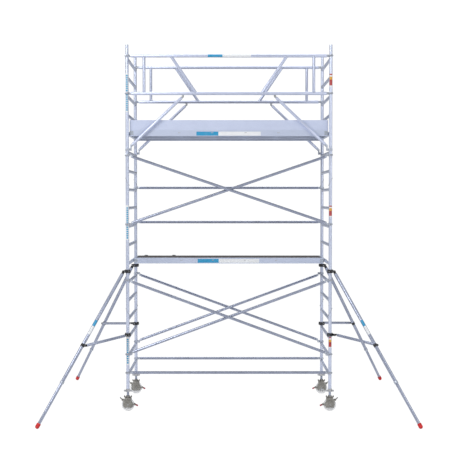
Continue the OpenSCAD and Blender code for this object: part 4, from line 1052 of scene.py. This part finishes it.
def vinyl(name, colour):
    """Printed vinyl, a little faded, scuffed and dusty."""
    material, nodes = new_material(name)
    skin = grouped(nodes, CAST_SKIN, Grain=140.0, Stain=0.35)
    faded = tuple(0.78 * c + 0.10 for c in colour)
    tone = blend_colours(nodes, skin.outputs["Shade"], colour, faded)
    gloss = nodes.add("ShaderNodeMapRange", {0: skin.outputs["Dull"], 3: 0.28, 4: 0.5})
    close_material(nodes, tone, gloss.outputs[0], skin.outputs["Height"], 0.05, 0.0002)
    return material


VINYLS = [vinyl("vinyl_blue", BLUE), vinyl("vinyl_white", WHITE_VINYL), vinyl("vinyl_red", RED_VINYL),
          vinyl("vinyl_orange", ORANGE)]


def tube_band(shape, low_end, way, length, radius, facing, half_angle, colour):
    """A thin curved patch on a tube, centred on a direction."""
    before = set(shape.faces)
    start = Matrix.Rotation(-half_angle, 3, way) @ facing
    near, far = radius + FILM_GAP, radius + FILM_GAP + FILM_T
    verts = [shape.verts.new(low_end + start * r + way * h)
             for r, h in ((near, 0), (far, 0), (far, length), (near, length))]
    patch = shape.faces.new(verts)
    bmesh.ops.spin(shape, geom=[patch, *patch.edges, *patch.verts], cent=low_end, axis=way,
                   angle=2 * half_angle, steps=14)
    made = [f for f in shape.faces if f not in before]
    bmesh.ops.recalc_face_normals(shape, faces=made)
    for face in made:
        face.material_index = colour


FRONT = Vector((0, -1, 0))
bands = bmesh.new()
for z0, z1 in LEFT_BANDS:
    foot = Vector((-CORNER_X, -CORNER_Y, z0))
    tube_band(bands, foot, UP, z1 - z0, STANDARD_R, FRONT, math.radians(55), 1)
    count = int((z1 - z0 - 0.03) / 0.032)
    for i in range(count):
        tube_band(bands, foot + UP * (0.02 + i * 0.032), UP, 0.022, STANDARD_R + 0.0003, FRONT,
                  math.radians(30), 0)
for z0, z1 in RIGHT_BANDS:
    foot = Vector((CORNER_X, -CORNER_Y, z0))
    run = z1 - z0
    for a, b, colour in ((0, 0.10, 1), (0.10, 0.55, 2), (0.55, 0.78, 3), (0.78, 0.90, 1), (0.90, 1.0, 2)):
        tube_band(bands, foot + UP * run * a, UP, run * (b - a) - FILM_GAP, STANDARD_R, FRONT,
                  math.radians(55), colour)
LOWER_BEAM, UPPER_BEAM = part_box("lower_deck_frame")[0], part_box("upper_plain_deck_frame")[0]
for y, z0, x0, x1, split in ((LOWER_BEAM.y, LOWER_BEAM.z + 0.012, -0.49, 0.477, -0.159),
                             (UPPER_BEAM.y, 4.146 + 0.006, -0.488, 0.48, -0.158)):
    for a, b, colour in ((x0, split, 0), (split, x1, 1)):
        place = Matrix.Translation(((a + b) / 2, y - 0.0001 - FILM_T / 2, z0 + 0.03))
        made = block(bands, (b - a - FILM_GAP, FILM_T, 0.060), place)
        for face in {f for v in made for f in v.link_faces}:
            face.material_index = colour
for a, b, colour in ((-0.315, -0.096, 0), (-0.096, 0.33, 1)):
    tube_band(bands, Vector((a, -CORNER_Y, RAIL_LEVELS[1])), BAY, b - a - FILM_GAP, RAIL_R, FRONT,
              math.radians(50), colour)
finish_piece("label_bands", bands, VINYLS, "tower")
for corner, side, row in CORNERS[:2]:
    place = outrigger_frame(side, row)
    turn = place.to_3x3()
    way = turn @ LEG_WAY
    pivot = place @ Vector((OUT_ARM, 0, LEG_TOP_Z))
    facing = FRONT - way * FRONT.dot(way)
    patch = bmesh.new()
    for at, length, colour in ((0.86, 0.10, 0), (0.9605, 0.14, 1)):
        tube_band(patch, pivot + way * at, way, length, 0.025, facing.normalized(),
                  math.radians(50), colour)
    finish_piece(f"outrigger_band_{corner}", patch, VINYLS, "outrigger_leg_" + corner)
